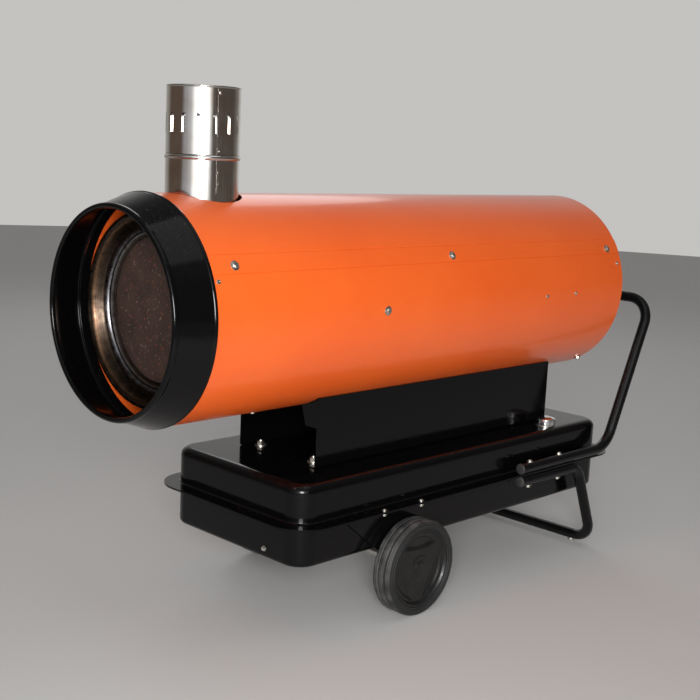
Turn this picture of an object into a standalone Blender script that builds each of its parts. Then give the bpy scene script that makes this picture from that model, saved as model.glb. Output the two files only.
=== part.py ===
"""Indirect fired heater: a barrel with its heat exchanger and fan, on a pedestal over a wheeled fuel tank.

Metres, +Z up. The outlet looks along -X, and the handle is at +X. The origin lies on the floor,
under the middle of the heater's length and width.
"""

import math

import bmesh
import bpy
from mathutils import Matrix, Vector

# Gaps, sheets and facets
clearance = 0.0003
casing_sheet = 0.0012
frame_sheet = 0.0015
bracket_sheet = 0.002
plate_sheet = 0.003
cut_overrun = 0.010
barrel_steps = 24
wheel_steps = 20
pipe_steps = 16
small_steps = 10
hole_steps = 8

# Barrel casing
cone_length = 0.068
handle_overhang = 0.116
casing_radius = 0.1875
barrel_rise = 0.097
seam_angle = math.radians(23.8)
lap_width = 0.034
lap_steps = 3
joggle_run = 0.0015

# Outlet cone
cone_fall = 0.0165
cone_skirt_length = 0.017
cone_bead_length = 0.007
cone_bead_fall = 0.001
cone_lip = 0.0045

# Intake end
collar_recess = 0.004
collar_skirt_length = 0.022
collar_lip = 0.007
collar_flange_width = 0.016
guard_wire_radius = 0.0022
guard_wire_sides = 5
guard_hoop_steps = (10, 15, 20)
guard_spoke_count = 5
spoke_turn_share = 0.3
guard_boss_radius = 0.026
spoke_share = 0.7

# Heat exchanger drum
drum_air_gap = 0.0295
drum_front_inset = 0.065
drum_length = 0.635
drum_dish_depth = 0.0315
drum_rim_shares = ((1.0, 0.127), (0.985, 0.0), (0.93, 0.063), (0.915, 0.127), (0.854, 0.571), (0.829, 0.857),
                   (0.807, 0.841), (0.75, 1.0))
drum_skirt_length = 0.018
baffle_lap = 0.004
baffle_sheet = 0.003
baffle_crown = 0.0025
saddle_half_angle = math.radians(24)
saddle_inset = 0.098
saddle_opening_share = 0.62
saddle_steps = 6

# Flue
flue_radius = 0.060
flue_inset = 0.178
flue_top_rise = 0.1689
flue_bead_rise = 0.0575
flue_bead_length = 0.007
flue_bead_proud = 0.002
flue_neck_length = 0.024
flue_hole_gap = 0.004
flue_sheet = 0.001
flue_curl = 0.0012
slot_count = 15
slot_width = 0.006
slot_height = 0.030
slot_rise = 0.110
slot_turn_share = 0.39
sleeve_steps = 2 * slot_count

# Burner
burner_radius = 0.050
burner_length = 0.110
burner_reach = 0.045
burner_to_pump = 0.0584
burner_flange_width = 0.022
nozzle_radius = 0.009
nozzle_nut_radius = 0.0115
nozzle_length = 0.085
swirl_vane_count = 6
swirl_share = 0.86
electrode_radius = 0.0025
electrode_offset = 0.022
electrode_reach = 0.018

# Motor, fan and pump
motor_radius = 0.046
motor_shoulder_share = 0.9
motor_length = 0.150
motor_boss_radius = 0.018
motor_boss_length = 0.010
motor_to_rear = 0.118
shaft_radius = 0.007
fan_air_gap = 0.0235
fan_hub_radius = 0.034
fan_hub_length = 0.030
fan_blade_count = 5
fan_blade_sheet = 0.002
fan_root_chord = 0.040
fan_tip_chord = 0.090
fan_root_pitch = math.radians(40)
fan_tip_pitch = math.radians(24)
mount_arm_count = 4
mount_arm_width = 0.030
mount_band = 0.012
mount_share = 0.33
pump_size = 0.056
pump_length = 0.044
pump_cover_share = 0.8
pump_neck_radius = 0.024
pump_neck_wall = 0.004
coupling_radius = 0.013
coupling_length = 0.024
pipe_radius = 0.0035
pipe_jog = 0.012

# Pedestal and what stands in it
pedestal_side_inset = 0.0725
pedestal_front_inset = 0.1007
pedestal_rear_inset = 0.110
pedestal_bend = 0.004
tab_top_reach = 0.061
tab_bottom_reach = 0.072
tab_rise = 0.072
transformer_inset = 0.175
transformer_length = 0.120
transformer_width = 0.090
transformer_height = 0.040
transformer_offset = -0.010
control_box_length = 0.095
control_box_width = 0.090
control_box_height = 0.034
box_spacing = 0.030
box_edge = 0.003
filter_radius = 0.022
filter_height = 0.058
filter_nipple_radius = 0.006
filter_nipple_length = 0.009

# Control panel at the pedestal's rear
panel_inset = 0.004
panel_side_gap = 0.001
control_rise = 0.040
knob_radius = 0.016
knob_height = 0.015
knob_spindle_radius = 0.004
knob_spindle_length = 0.010
knob_across = -0.048
pointer_width = 0.004
button_radius = 0.008
button_proud = 0.010
button_travel = 0.003
button_shoulder = 0.002
button_across = 0.0
bezel_width = 0.004
bezel_proud = 0.006
socket_across = 0.048
socket_radius = 0.018
socket_proud = 0.009
socket_body_radius = 0.014
socket_bore_radius = 0.0115
socket_depth = 0.016
flap_sheet = 0.0025
knuckle_radius = 0.0032
knuckle_length = 0.014
pin_radius = 0.0014
ear_width = 0.003
gland_across = 0.082
gland_drop = 0.018
gland_radius = 0.011
gland_nose_radius = 0.009
gland_length = 0.018
gland_bore_radius = 0.0055

# Fuel tank
tank_inset = 0.262
tank_length = 0.889
tank_half_width = 0.175
tank_top = 0.2725
tank_bottom = 0.128
tank_corner = 0.040
tank_shoulder = 0.016
tank_fillet = 0.009
tank_corner_steps = 4
flange_height = 0.204
flange_width = 0.030
flange_bend = 0.0015
filler_inset = 0.156
filler_edge = 0.037
filler_radius = 0.016
filler_rise = 0.009
filler_flange_width = 0.0045
neck_wall = 0.002
neck_depth = 0.022
gasket_sheet = 0.002
cap_radius = 0.021
cap_height = 0.0135
cap_crown = 0.0025
cap_wall = 0.0025
cap_plug_depth = 0.006
plug_radius = 0.0065
plug_shank_radius = 0.0045
plug_reach = 0.006
plug_across = 0.089
plug_rise = 0.018
pickup_radius = 0.004
pickup_collar_radius = 0.012
strainer_radius = 0.010
strainer_height = 0.028
strainer_lift = 0.012

# Handle, leg and their tube
tube_radius = 0.011
tube_wall = 0.0015
tube_resolution = 2
tube_stand_off = 0.025
tube_reach = 0.317
handle_angle = math.radians(24)
grip_drop = 0.028
handle_low_bend = 0.060
handle_top_bend = 0.055
leg_inset = 0.118
leg_angle = math.radians(23.3)
leg_bend = 0.045
foot_height = 0.004
foot_radius = 0.007
foot_inset = 0.050
end_cap_head = 0.004
end_cap_edge = 0.0015
end_cap_shank = 0.012

# Wheels and axle
wheel_inset = 0.263
wheel_radius = 0.088
wheel_width = 0.042
wheel_stand_off = 0.047
tread_depth = 0.002
tread_groove_shares = (-0.17, 0.17)
tread_groove = 0.0025
tyre_shoulder = 0.004
rim_radius = 0.071
rim_wall = 0.004
rim_inset = 0.002
hub_recess = 0.007
hub_web = 0.012
hub_bore_gap = 0.0005
hub_boss_radius = 0.019
hub_cap_radius = 0.0135
hub_cap_height = 0.0035
hub_cap_edge = 0.001
pocket_count = 3
pocket_spoke_angle = math.radians(26)
pocket_depth = 0.006
pocket_margin = 0.006
pocket_steps = 6
axle_radius = 0.008
bracket_front_reach = 0.153
bracket_rear_reach = 0.075
bracket_gap = 0.002
bracket_knee = 0.012
bracket_boss_radius = 0.019
bracket_lip_width = 0.023

# Places worked out from the sizes above
burner_and_pump = burner_length - burner_reach + burner_to_pump + pump_length + coupling_length + 2 * clearance
drive_length = burner_and_pump + motor_boss_length + motor_length + motor_to_rear
casing_length = drum_front_inset + drum_length + drive_length - cone_length
total_length = cone_length + casing_length + handle_overhang
barrel_height = tank_top + barrel_rise + casing_radius
casing_top_z = barrel_height + casing_radius
cone_front_radius = casing_radius - cone_fall
drum_radius = casing_radius - drum_air_gap
fan_radius = casing_radius - fan_air_gap
front_x = -total_length / 2
casing_front_x = front_x + cone_length
casing_rear_x = casing_front_x + casing_length
casing_inner_radius = casing_radius - casing_sheet
lapped_radius = casing_inner_radius - clearance
skirt_radius = lapped_radius - casing_sheet - clearance
drum_front_x = front_x + drum_front_inset
drum_shell_radius = drum_radius - casing_sheet - clearance
drum_rear_x = drum_front_x + drum_length
flue_x = front_x + flue_inset
flue_inner_radius = flue_radius - flue_sheet
flue_bead_z = casing_top_z + flue_bead_rise
motor_rear = casing_rear_x - motor_to_rear
motor_front = motor_rear - motor_length
shaft_bore_radius = shaft_radius + clearance
coupling_rear = motor_front - motor_boss_length - clearance
coupling_front = coupling_rear - coupling_length
pump_rear = coupling_front - clearance
pump_front = pump_rear - pump_length
pump_x = (pump_front + pump_rear) / 2
tank_front_x = front_x + tank_inset
tank_rear_x = tank_front_x + tank_length
tank_x = (tank_front_x + tank_rear_x) / 2
flange_top_z = flange_height + frame_sheet + clearance / 2
flange_bottom_z = flange_height - frame_sheet - clearance / 2
pedestal_front_x = tank_front_x + pedestal_front_inset
pedestal_rear_x = tank_rear_x - pedestal_rear_inset
pedestal_half_width = tank_half_width - pedestal_side_inset
pedestal_inner = pedestal_half_width - frame_sheet
pedestal_floor_z = tank_top + clearance + frame_sheet
panel_rear_x = pedestal_rear_x - panel_inset
control_z = pedestal_floor_z + control_rise
wheel_x = tank_front_x + wheel_inset
bracket_face = tank_half_width + bracket_gap + bracket_sheet
bracket_lip_reach = tank_half_width + bracket_lip_width
wheel_outer_face = tank_half_width + wheel_stand_off
tube_across = tank_half_width + tube_stand_off
foot_across = tube_across - foot_inset
tube_front_x = tank_rear_x - tube_reach
tube_bore_radius = (tube_radius - tube_wall) * math.cos(math.pi / (2 * tube_resolution + 4))

AXES = {
    "+X": Matrix(((0, 0, 1), (0, 1, 0), (-1, 0, 0))).to_4x4(),
    "-X": Matrix(((0, 0, -1), (0, 1, 0), (1, 0, 0))).to_4x4(),
    "+Y": Matrix(((1, 0, 0), (0, 0, 1), (0, -1, 0))).to_4x4(),
    "-Y": Matrix(((1, 0, 0), (0, 0, -1), (0, 1, 0))).to_4x4(),
    "+Z": Matrix.Identity(4),
}
PLANES = {
    "YZ": Matrix(((0, 0, 1), (1, 0, 0), (0, 1, 0))).to_4x4(),
    "XZ": Matrix(((1, 0, 0), (0, 0, -1), (0, 1, 0))).to_4x4(),
    "XY": Matrix.Identity(4),
}


def start():
    for obj in list(bpy.data.objects):
        bpy.data.objects.remove(obj, do_unlink=True)
    made = {}
    for name in ("indirect_fired_heater", "cutters"):
        made[name] = bpy.data.collections.new(name)
        bpy.context.scene.collection.children.link(made[name])
    return made["indirect_fired_heater"], made["cutters"]


parts, cutters = start()


def finish(name, colour, roughness, metallic=0.0):
    """A Principled material."""
    material = bpy.data.materials.new(name)
    material.use_nodes = True
    shader = material.node_tree.nodes["Principled BSDF"]
    shader.inputs["Base Color"].default_value = (*colour, 1.0)
    shader.inputs["Roughness"].default_value = roughness
    shader.inputs["Metallic"].default_value = metallic
    return material


orange_paint = finish("orange_paint", (0.83, 0.13, 0.02), 0.25)
black_paint = finish("black_paint", (0.012, 0.012, 0.013), 0.2)
stainless = finish("stainless_steel", (0.55, 0.54, 0.52), 0.25, 1.0)
scorched_steel = finish("scorched_steel", (0.09, 0.06, 0.045), 0.55, 0.6)
zinc_plate = finish("zinc_plate", (0.6, 0.6, 0.58), 0.3, 1.0)
chrome = finish("chrome", (0.75, 0.75, 0.76), 0.08, 1.0)
black_rubber = finish("black_rubber", (0.03, 0.03, 0.03), 0.7)
grey_plastic = finish("grey_plastic", (0.045, 0.045, 0.045), 0.5)
red_plastic = finish("red_plastic", (0.6, 0.02, 0.015), 0.35)
cast_alloy = finish("cast_alloy", (0.4, 0.4, 0.41), 0.45, 0.9)
copper = finish("copper", (0.72, 0.3, 0.16), 0.3, 1.0)
ceramic = finish("ceramic", (0.8, 0.78, 0.72), 0.4)


def add(name, data, material, matrix=None, helper=False):
    """Puts data in the scene as an object: a part, or a helper that only cuts or joins."""
    obj = bpy.data.objects.new(name, data)
    (cutters if helper else parts).objects.link(obj)
    if material and not data.materials:
        data.materials.append(material)
    if matrix:
        obj.matrix_world = matrix
    if helper:
        obj.hide_render = True
        obj.display_type = "WIRE"
    return obj


def at(x, y, z, turn=None):
    place = Matrix.Translation((x, y, z))
    return place @ turn if turn else place


def thicken(obj, thickness, offset=-1.0):
    wall = obj.modifiers.new("wall", "SOLIDIFY")
    wall.thickness = thickness
    wall.offset = offset
    wall.use_even_offset = True
    return obj


def combine(obj, other, operation, solver="EXACT"):
    step = obj.modifiers.new(operation.lower(), "BOOLEAN")
    step.operation = operation
    step.solver = solver
    step.object = other


def cut(obj, *others):
    for other in others:
        combine(obj, other, "DIFFERENCE")


def join(obj, *others):
    for other in others:
        combine(obj, other, "UNION")


def turned(name, profile, material, matrix, steps=barrel_steps, thickness=0.0, ring=False, helper=False):
    """Turns (radius, height) points about the local Z axis. A thickness makes a sheet of an open line."""
    mesh = bpy.data.meshes.new(name)
    edges = [(i, i + 1) for i in range(len(profile) - 1)]
    if ring:
        edges.append((len(profile) - 1, 0))
    mesh.from_pydata([(radius, 0.0, height) for radius, height in profile], edges, [])
    obj = add(name, mesh, material, matrix, helper)
    turn = obj.modifiers.new("turn", "SCREW")
    turn.steps = steps
    turn.render_steps = steps
    turn.use_merge_vertices = True
    turn.merge_threshold = 0.00001
    turn.use_smooth_shade = True
    if thickness:
        thicken(obj, thickness)
    return obj


def disc(name, radius, low, high, material, matrix, steps=small_steps, helper=False):
    """A round bar, from low to high along the local Z axis."""
    return turned(name, ((0.0, high), (radius, high), (radius, low), (0.0, low)), material, matrix, steps, helper=helper)


def block(name, low, high, material, bevel=0.0, helper=False):
    """A box between two corners, with rounded edges where a bevel is given."""
    low = Vector(low)
    high = Vector(high)
    mesh = bpy.data.meshes.new(name)
    shape = bmesh.new()
    bmesh.ops.create_cube(shape, size=1.0)
    bmesh.ops.scale(shape, vec=high - low, verts=shape.verts)
    shape.to_mesh(mesh)
    shape.free()
    obj = add(name, mesh, material, Matrix.Translation((low + high) / 2), helper)
    if bevel:
        edge = obj.modifiers.new("edge", "BEVEL")
        edge.width = bevel
        edge.segments = 1
    return obj


def plate(name, outlines, thickness, material, plane, offset, helper=False):
    """A flat sheet cut to its outlines, the first one outside, centred on offset along the plane's normal."""
    curve = bpy.data.curves.new(name, "CURVE")
    curve.dimensions = "2D"
    curve.fill_mode = "BOTH"
    curve.extrude = thickness / 2
    for outline in outlines:
        spline = curve.splines.new("POLY")
        spline.points.add(len(outline) - 1)
        for point, (across, up) in zip(spline.points, outline):
            point.co = (across, up, 0.0, 1.0)
        spline.use_cyclic_u = True
    turn = PLANES[plane]
    return add(name, curve, material, Matrix.Translation(turn.col[2].to_3d() * offset) @ turn, helper)


def as_mesh(obj, helper=False):
    """Makes a mesh object of a curve, so that it can be cut or joined."""
    bpy.context.view_layer.update()
    graph = bpy.context.evaluated_depsgraph_get()
    mesh = bpy.data.meshes.new_from_object(obj.evaluated_get(graph), depsgraph=graph)
    shape = bmesh.new()
    shape.from_mesh(mesh)
    bmesh.ops.remove_doubles(shape, verts=shape.verts, dist=0.00001)
    shape.to_mesh(mesh)
    shape.free()
    name = obj.name
    matrix = obj.matrix_world.copy()
    bpy.data.objects.remove(obj, do_unlink=True)
    mesh.name = name
    return add(name, mesh, None, matrix, helper)


def rounded(points, radii, steps=3):
    """The path through points, with each corner turned into an arc of its own radius."""
    points = [Vector(point) for point in points]
    path = [points[0]]
    for before, corner, after, radius in zip(points, points[1:], points[2:], radii):
        back = (before - corner).normalized()
        ahead = (after - corner).normalized()
        half = back.angle(ahead) / 2
        middle = corner + (back + ahead).normalized() * (radius / math.sin(half))
        first = (corner + back * (radius / math.tan(half)) - middle).normalized()
        last = (corner + ahead * (radius / math.tan(half)) - middle).normalized()
        for i in range(steps + 1):
            path.append(middle + radius * first.slerp(last, i / steps))
    path.append(points[-1])
    return path


def tube(name, path, radius, material, resolution=2, wall=0.0):
    """A round bar along a path, or with a wall a pipe with open ends."""
    curve = bpy.data.curves.new(name, "CURVE")
    curve.dimensions = "3D"
    curve.bevel_depth = radius
    curve.bevel_resolution = resolution
    curve.use_fill_caps = not wall
    spline = curve.splines.new("POLY")
    spline.points.add(len(path) - 1)
    for point, place in zip(spline.points, path):
        point.co = (*place, 1.0)
    obj = add(name, curve, material)
    if wall:
        obj = thicken(as_mesh(obj), wall)
    return obj


def arc(radius, first, last, steps, centre=(0.0, 0.0)):
    """Points on an arc in a plane, from the first angle to the last."""
    turns = [first + (last - first) * i / steps for i in range(steps + 1)]
    return [(centre[0] + radius * math.cos(turn), centre[1] + radius * math.sin(turn)) for turn in turns]


def rounded_rectangle(half_x, half_y, radius, steps=6):
    """A rounded rectangle about the origin, counter-clockwise."""
    points = []
    for quarter, (side_x, side_y) in enumerate(((1, 1), (-1, 1), (-1, -1), (1, -1))):
        centre = (side_x * (half_x - radius), side_y * (half_y - radius))
        first = quarter * math.pi / 2
        points += arc(radius, first, first + math.pi / 2, steps, centre)
    return points


def extruded_sheet(name, section, first_x, last_x, thickness, material):
    """A bent sheet: a line in the YZ plane drawn along X, thickened to its inner side."""
    mesh = bpy.data.meshes.new(name)
    shape = bmesh.new()
    rows = [[shape.verts.new((x, y, z)) for y, z in section] for x in (first_x, last_x)]
    for i in range(len(section) - 1):
        shape.faces.new((rows[0][i], rows[0][i + 1], rows[1][i + 1], rows[1][i]))
    shape.to_mesh(mesh)
    shape.free()
    mesh.shade_smooth()
    return thicken(add(name, mesh, material), thickness)


def barrel_point(radius, angle):
    """A (y, z) point on a circle about the barrel's axis."""
    return radius * math.cos(angle), barrel_height + radius * math.sin(angle)


def around(radius, half_turn):
    """How far out the corners lie of a polygon whose flats touch the circle."""
    return radius / math.cos(half_turn)


def inside(radius, half_turn):
    """How far in the flats lie of a polygon with its corners on the circle."""
    return radius * math.cos(half_turn)


def under_barrel(first_y, last_y, steps=6):
    """Points that follow the barrel's underside at a small gap."""
    radius = casing_radius + clearance
    first = math.asin(first_y / radius)
    last = math.asin(last_y / radius)
    radius = around(radius, abs(last - first) / steps / 2)
    return arc(radius, first - math.pi / 2, last - math.pi / 2, steps, (0.0, barrel_height))


def on_barrel(x, turn="+X"):
    return at(x, 0.0, barrel_height, AXES[turn])


def make_casing():
    """Two rolled shells. The upper laps over the joggled edges of the lower one and lifts off."""
    lap = lap_width / casing_radius
    steps = barrel_steps // 3
    first = seam_angle + lap
    last = math.pi - first
    edge = [seam_angle + lap * i / lap_steps for i in range(lap_steps)]
    turns = edge + [first + (last - first) * i / steps for i in range(steps + 1)]
    turns += [math.pi - turn for turn in reversed(edge)]
    upper = extruded_sheet("casing_upper", [barrel_point(casing_radius, turn) for turn in turns],
                           casing_front_x, casing_rear_x, casing_sheet, orange_paint)
    cut(upper, disc("flue_hole", flue_radius + flue_hole_gap, 0.0, casing_radius + cut_overrun, None,
                    at(flue_x, 0.0, barrel_height), pipe_steps, helper=True))

    first = math.pi - seam_angle
    last = 2 * math.pi + seam_angle
    run = joggle_run / casing_radius
    steps = 2 * barrel_steps // 3
    span = last - first - 4 * run
    edge = [lap - (lap + run) * i / lap_steps for i in range(lap_steps + 1)]
    section = [(lapped_radius, first - turn) for turn in edge]
    section += [(casing_radius, first + 2 * run + span * i / steps) for i in range(steps + 1)]
    section += [(lapped_radius, last + turn) for turn in reversed(edge)]
    lower = extruded_sheet("casing_lower", [barrel_point(radius, turn) for radius, turn in section],
                           casing_front_x, casing_rear_x, casing_sheet, orange_paint)
    cut(lower, disc("suction_hole", 2 * pipe_radius, 0.0, casing_radius, None, at(pump_x, 0.0, tank_top),
                    hole_steps, helper=True))


def make_outlet_cone():
    """A spun cone with a rolled front lip and a bead, whose skirt slips into the casing."""
    bead_start = cone_length - clearance
    neck = casing_radius - cone_bead_fall
    profile = [
        (skirt_radius, cone_length + cone_skirt_length),
        (skirt_radius, bead_start - cone_bead_fall),
        (casing_radius, bead_start - cone_bead_fall),
        (neck, bead_start - cone_bead_length),
        (cone_front_radius - cone_lip / 2, 2 * cone_lip),
        (cone_front_radius, cone_lip),
        (cone_front_radius - cone_lip, 0.0),
        (cone_front_radius - 2 * cone_lip, cone_lip / 4),
    ]
    turned("outlet_cone", profile, black_paint, on_barrel(front_x), thickness=casing_sheet)


def make_intake_end():
    """The rear collar inside the casing's end, and the wire guard on it, welded up from rings and spokes."""
    inner = skirt_radius - collar_flange_width
    collar_x = casing_rear_x - collar_recess
    profile = [
        (inner, 0.0),
        (skirt_radius - collar_lip / 2, 0.0),
        (skirt_radius, -collar_lip / 2),
        (skirt_radius, -collar_skirt_length),
    ]
    turned("rear_collar", profile, black_paint, on_barrel(collar_x), thickness=casing_sheet)

    ring_x = collar_x + clearance + guard_wire_radius
    outer = inner + collar_flange_width / 2
    spoke_radius = guard_wire_radius * spoke_share
    guard = disc("intake_guard", guard_boss_radius, -guard_wire_radius, guard_wire_radius, black_paint,
                 on_barrel(ring_x))
    for i, steps in enumerate(guard_hoop_steps):
        radius = guard_boss_radius + (outer - guard_boss_radius) * (i + 1) / len(guard_hoop_steps)
        section = arc(guard_wire_radius, math.pi, -math.pi, guard_wire_sides, (radius, 0.0))[:-1]
        join(guard, turned(f"guard_hoop_{i}", section, None, on_barrel(ring_x), steps, ring=True, helper=True))
    for i in range(guard_spoke_count):
        turn = Matrix.Rotation(2 * math.pi * (i + spoke_turn_share) / guard_spoke_count, 4, "X") @ AXES["+Y"]
        join(guard, disc(f"guard_spoke_{i}", spoke_radius, guard_boss_radius / 2, outer, None,
                         at(ring_x + guard_wire_radius / 2, 0.0, barrel_height, turn), 6, helper=True))


def make_drum():
    """The combustion drum: a shell, its dished front with a baffle behind, and two saddles under it."""
    rear_hole = burner_radius + casing_sheet + clearance
    shell_front = drum_front_inset + drum_dish_depth * drum_rim_shares[0][1] + 2 * clearance
    profile = [
        (rear_hole, drum_length),
        (drum_shell_radius, drum_length),
        (drum_shell_radius, shell_front - drum_front_inset),
    ]
    shell = turned("drum_shell", profile, stainless, on_barrel(drum_front_x), thickness=casing_sheet)
    hole = disc("drum_flue_hole", flue_inner_radius, 0.0, casing_radius, None, at(flue_x, 0.0, barrel_height),
                pipe_steps, helper=True)
    cut(shell, hole)

    rim = [(drum_radius, drum_dish_depth + drum_skirt_length)]
    rim += [(drum_radius * across, drum_dish_depth * depth) for across, depth in drum_rim_shares]
    turned("drum_front", rim, stainless, on_barrel(drum_front_x), thickness=casing_sheet)

    baffle_radius = drum_radius * drum_rim_shares[-1][0] + baffle_lap
    baffle_front = drum_dish_depth + casing_sheet + clearance
    rear = baffle_front + baffle_sheet
    crown = [(0.0, rear), (baffle_radius, rear), (baffle_radius, baffle_front),
             (baffle_radius - 2 * baffle_lap, baffle_front), (baffle_radius - 3 * baffle_lap, baffle_front - baffle_crown / 2),
             (baffle_radius / 2, baffle_front - baffle_crown), (0.0, baffle_front - baffle_crown)]
    turned("drum_baffle", crown, scorched_steel, on_barrel(drum_front_x))

    half_step = saddle_half_angle / saddle_steps
    seat = around(drum_shell_radius + clearance, half_step)
    foot = inside(casing_inner_radius, math.pi / barrel_steps) - clearance
    band = (foot - seat) / 3
    centre = (0.0, barrel_height)
    low = -math.pi / 2 - saddle_half_angle
    high = -math.pi / 2 + saddle_half_angle
    outline = arc(seat, low, high, saddle_steps, centre) + arc(foot, high, low, saddle_steps, centre)
    low += saddle_half_angle * (1 - saddle_opening_share)
    high -= saddle_half_angle * (1 - saddle_opening_share)
    window = arc(seat + band, low, high, saddle_steps, centre) + arc(foot - band, high, low, saddle_steps, centre)
    for name, x in (("drum_saddle_front", drum_front_x + drum_skirt_length + saddle_inset),
                    ("drum_saddle_rear", drum_rear_x - saddle_inset)):
        plate(name, (outline, window), plate_sheet, stainless, "YZ", x)


def make_flue():
    """The spigot rises from the drum through the casing, and the slotted sleeve stands on its bead."""
    neck_radius = inside(flue_radius - flue_sheet, math.pi / sleeve_steps) - clearance
    shoulder = flue_bead_z + flue_bead_length / 2
    profile = [
        (neck_radius, shoulder + flue_neck_length),
        (neck_radius, shoulder),
        (flue_radius + flue_bead_proud / 2, shoulder),
        (flue_radius + flue_bead_proud, flue_bead_z),
        (flue_radius, flue_bead_z - flue_bead_length / 2),
        (flue_radius, barrel_height + drum_shell_radius / 2),
    ]
    spigot = turned("flue_spigot", profile, stainless, at(flue_x, 0.0, 0.0), pipe_steps, thickness=flue_sheet)
    cut(spigot, disc("drum_space", drum_shell_radius + clearance, -drum_length, drum_length, None, on_barrel(flue_x),
                     2 * barrel_steps, helper=True))

    sleeve_top = casing_top_z + flue_top_rise
    sleeve_bottom = shoulder + clearance
    profile = [
        (flue_radius - flue_curl / 2, sleeve_top),
        (flue_radius + flue_curl / 2, sleeve_top - flue_curl),
        (flue_radius, sleeve_top - 2 * flue_curl),
        (flue_radius, sleeve_bottom),
    ]
    sleeve = turned("flue_sleeve", profile, stainless, at(flue_x, 0.0, 0.0), sleeve_steps, thickness=flue_sheet)
    slot_z = casing_top_z + slot_rise
    reach = flue_radius + cut_overrun
    for i in range(slot_count):
        slot = block(f"slot_{i}", (flue_radius / 2, -slot_width / 2, slot_z - slot_height / 2),
                     (reach, slot_width / 2, slot_z + slot_height / 2), None, helper=True)
        turn = Matrix.Rotation(2 * math.pi * (i + slot_turn_share) / slot_count, 4, "Z")
        slot.matrix_world = at(flue_x, 0.0, 0.0) @ turn @ slot.matrix_world
        cut(sleeve, slot)


def make_burner():
    """The flame tube in the drum's rear wall, with its back plate, nozzle, swirl disc and two electrodes."""
    tube_front = drum_rear_x - burner_reach
    tube_rear = tube_front + burner_length
    flange_front = burner_reach + clearance
    flange_rear = flange_front + casing_sheet
    outer = burner_radius + burner_flange_width
    bore = burner_radius - casing_sheet
    profile = ((burner_radius, burner_length), (burner_radius, flange_rear), (outer, flange_rear),
               (outer, flange_front), (burner_radius, flange_front), (burner_radius, 0.0), (bore, 0.0),
               (bore, burner_length))
    turned("burner_tube", profile, stainless, on_barrel(tube_front), pipe_steps, ring=True)

    centre = (0.0, barrel_height)
    plate_x = tube_rear + clearance + plate_sheet / 2
    rim = arc(burner_radius + burner_flange_width / 2, 0.0, 2 * math.pi, pipe_steps, centre)[:-1]
    holes = [arc(around(nozzle_radius + clearance, math.pi / small_steps), 0.0, 2 * math.pi, small_steps, centre)[:-1]]
    eyelet = electrode_radius + 2 * clearance
    for side in (-1, 1):
        holes.append(arc(eyelet, 0.0, 2 * math.pi, hole_steps, (side * electrode_offset, barrel_height))[:-1])
    plate("burner_plate", [rim] + holes, plate_sheet, cast_alloy, "YZ", plate_x)

    tip = tube_rear - nozzle_length
    nut_front = plate_x + plate_sheet / 2 + clearance
    nut_rear = nut_front + nozzle_radius
    profile = ((0.0, nut_rear), (nozzle_nut_radius, nut_rear), (nozzle_nut_radius, nut_front),
               (nozzle_radius, nut_front), (nozzle_radius, tip + nozzle_radius), (nozzle_radius / 2, tip), (0.0, tip))
    turned("nozzle_holder", profile, cast_alloy, on_barrel(0.0), small_steps)

    swirl_radius = burner_radius * swirl_share
    swirl_x = tip + 2 * nozzle_radius
    rim = arc(swirl_radius, 0.0, 2 * math.pi, pipe_steps, centre)[:-1]
    low = electrode_offset + 2 * eyelet
    high = swirl_radius - eyelet
    vanes = []
    for i in range(swirl_vane_count):
        turn = 2 * math.pi * i / swirl_vane_count
        sweep = math.pi / swirl_vane_count / 2
        vanes.append([barrel_point(low, turn - sweep), barrel_point(high, turn - sweep),
                      barrel_point(high, turn), barrel_point(low, turn)])
    plate("swirl_disc", [rim] + holes + vanes, casing_sheet, scorched_steel, "YZ", swirl_x)

    for name, side in (("electrode_left", -1), ("electrode_right", 1)):
        disc(name, electrode_radius, tip - electrode_reach / 2, plate_x + electrode_reach, ceramic,
             at(0.0, side * electrode_offset, barrel_height, AXES["+X"]), hole_steps)

    start = (nut_rear + clearance, 0.0, barrel_height)
    end = (pump_front - pump_size / 8 - clearance, 0.0, barrel_height - pipe_jog)
    middle = (start[0] + end[0]) / 2
    path = rounded((start, (middle, 0.0, barrel_height), (middle, 0.0, end[2]), end), (pipe_radius, pipe_radius), 3)
    tube("nozzle_line", path, pipe_radius, copper)


def make_blade(index, fan_x):
    """One twisted blade, from inside the hub to the fan's rim."""
    stations = 3
    columns = 2
    shape = bmesh.new()
    rows = []
    root = fan_hub_radius - 2 * fan_blade_sheet
    for i in range(stations + 1):
        share = i / stations
        radius = root + (fan_radius - root) * share
        chord = fan_root_chord + (fan_tip_chord - fan_root_chord) * share
        pitch = fan_root_pitch + (fan_tip_pitch - fan_root_pitch) * share
        row = []
        for j in range(columns + 1):
            along = (j / columns - 0.5) * chord
            turn = along * math.cos(pitch) / radius
            row.append(shape.verts.new((radius * math.cos(turn), radius * math.sin(turn), along * math.sin(pitch))))
        rows.append(row)
    for low, high in zip(rows, rows[1:]):
        for j in range(columns):
            shape.faces.new((low[j], high[j], high[j + 1], low[j + 1]))
    name = f"blade_{index}"
    mesh = bpy.data.meshes.new(name)
    shape.to_mesh(mesh)
    shape.free()
    turn = Matrix.Rotation(2 * math.pi * index / fan_blade_count, 4, "Z")
    return thicken(add(name, mesh, None, on_barrel(fan_x) @ turn, helper=True), fan_blade_sheet, 0.0)


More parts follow.
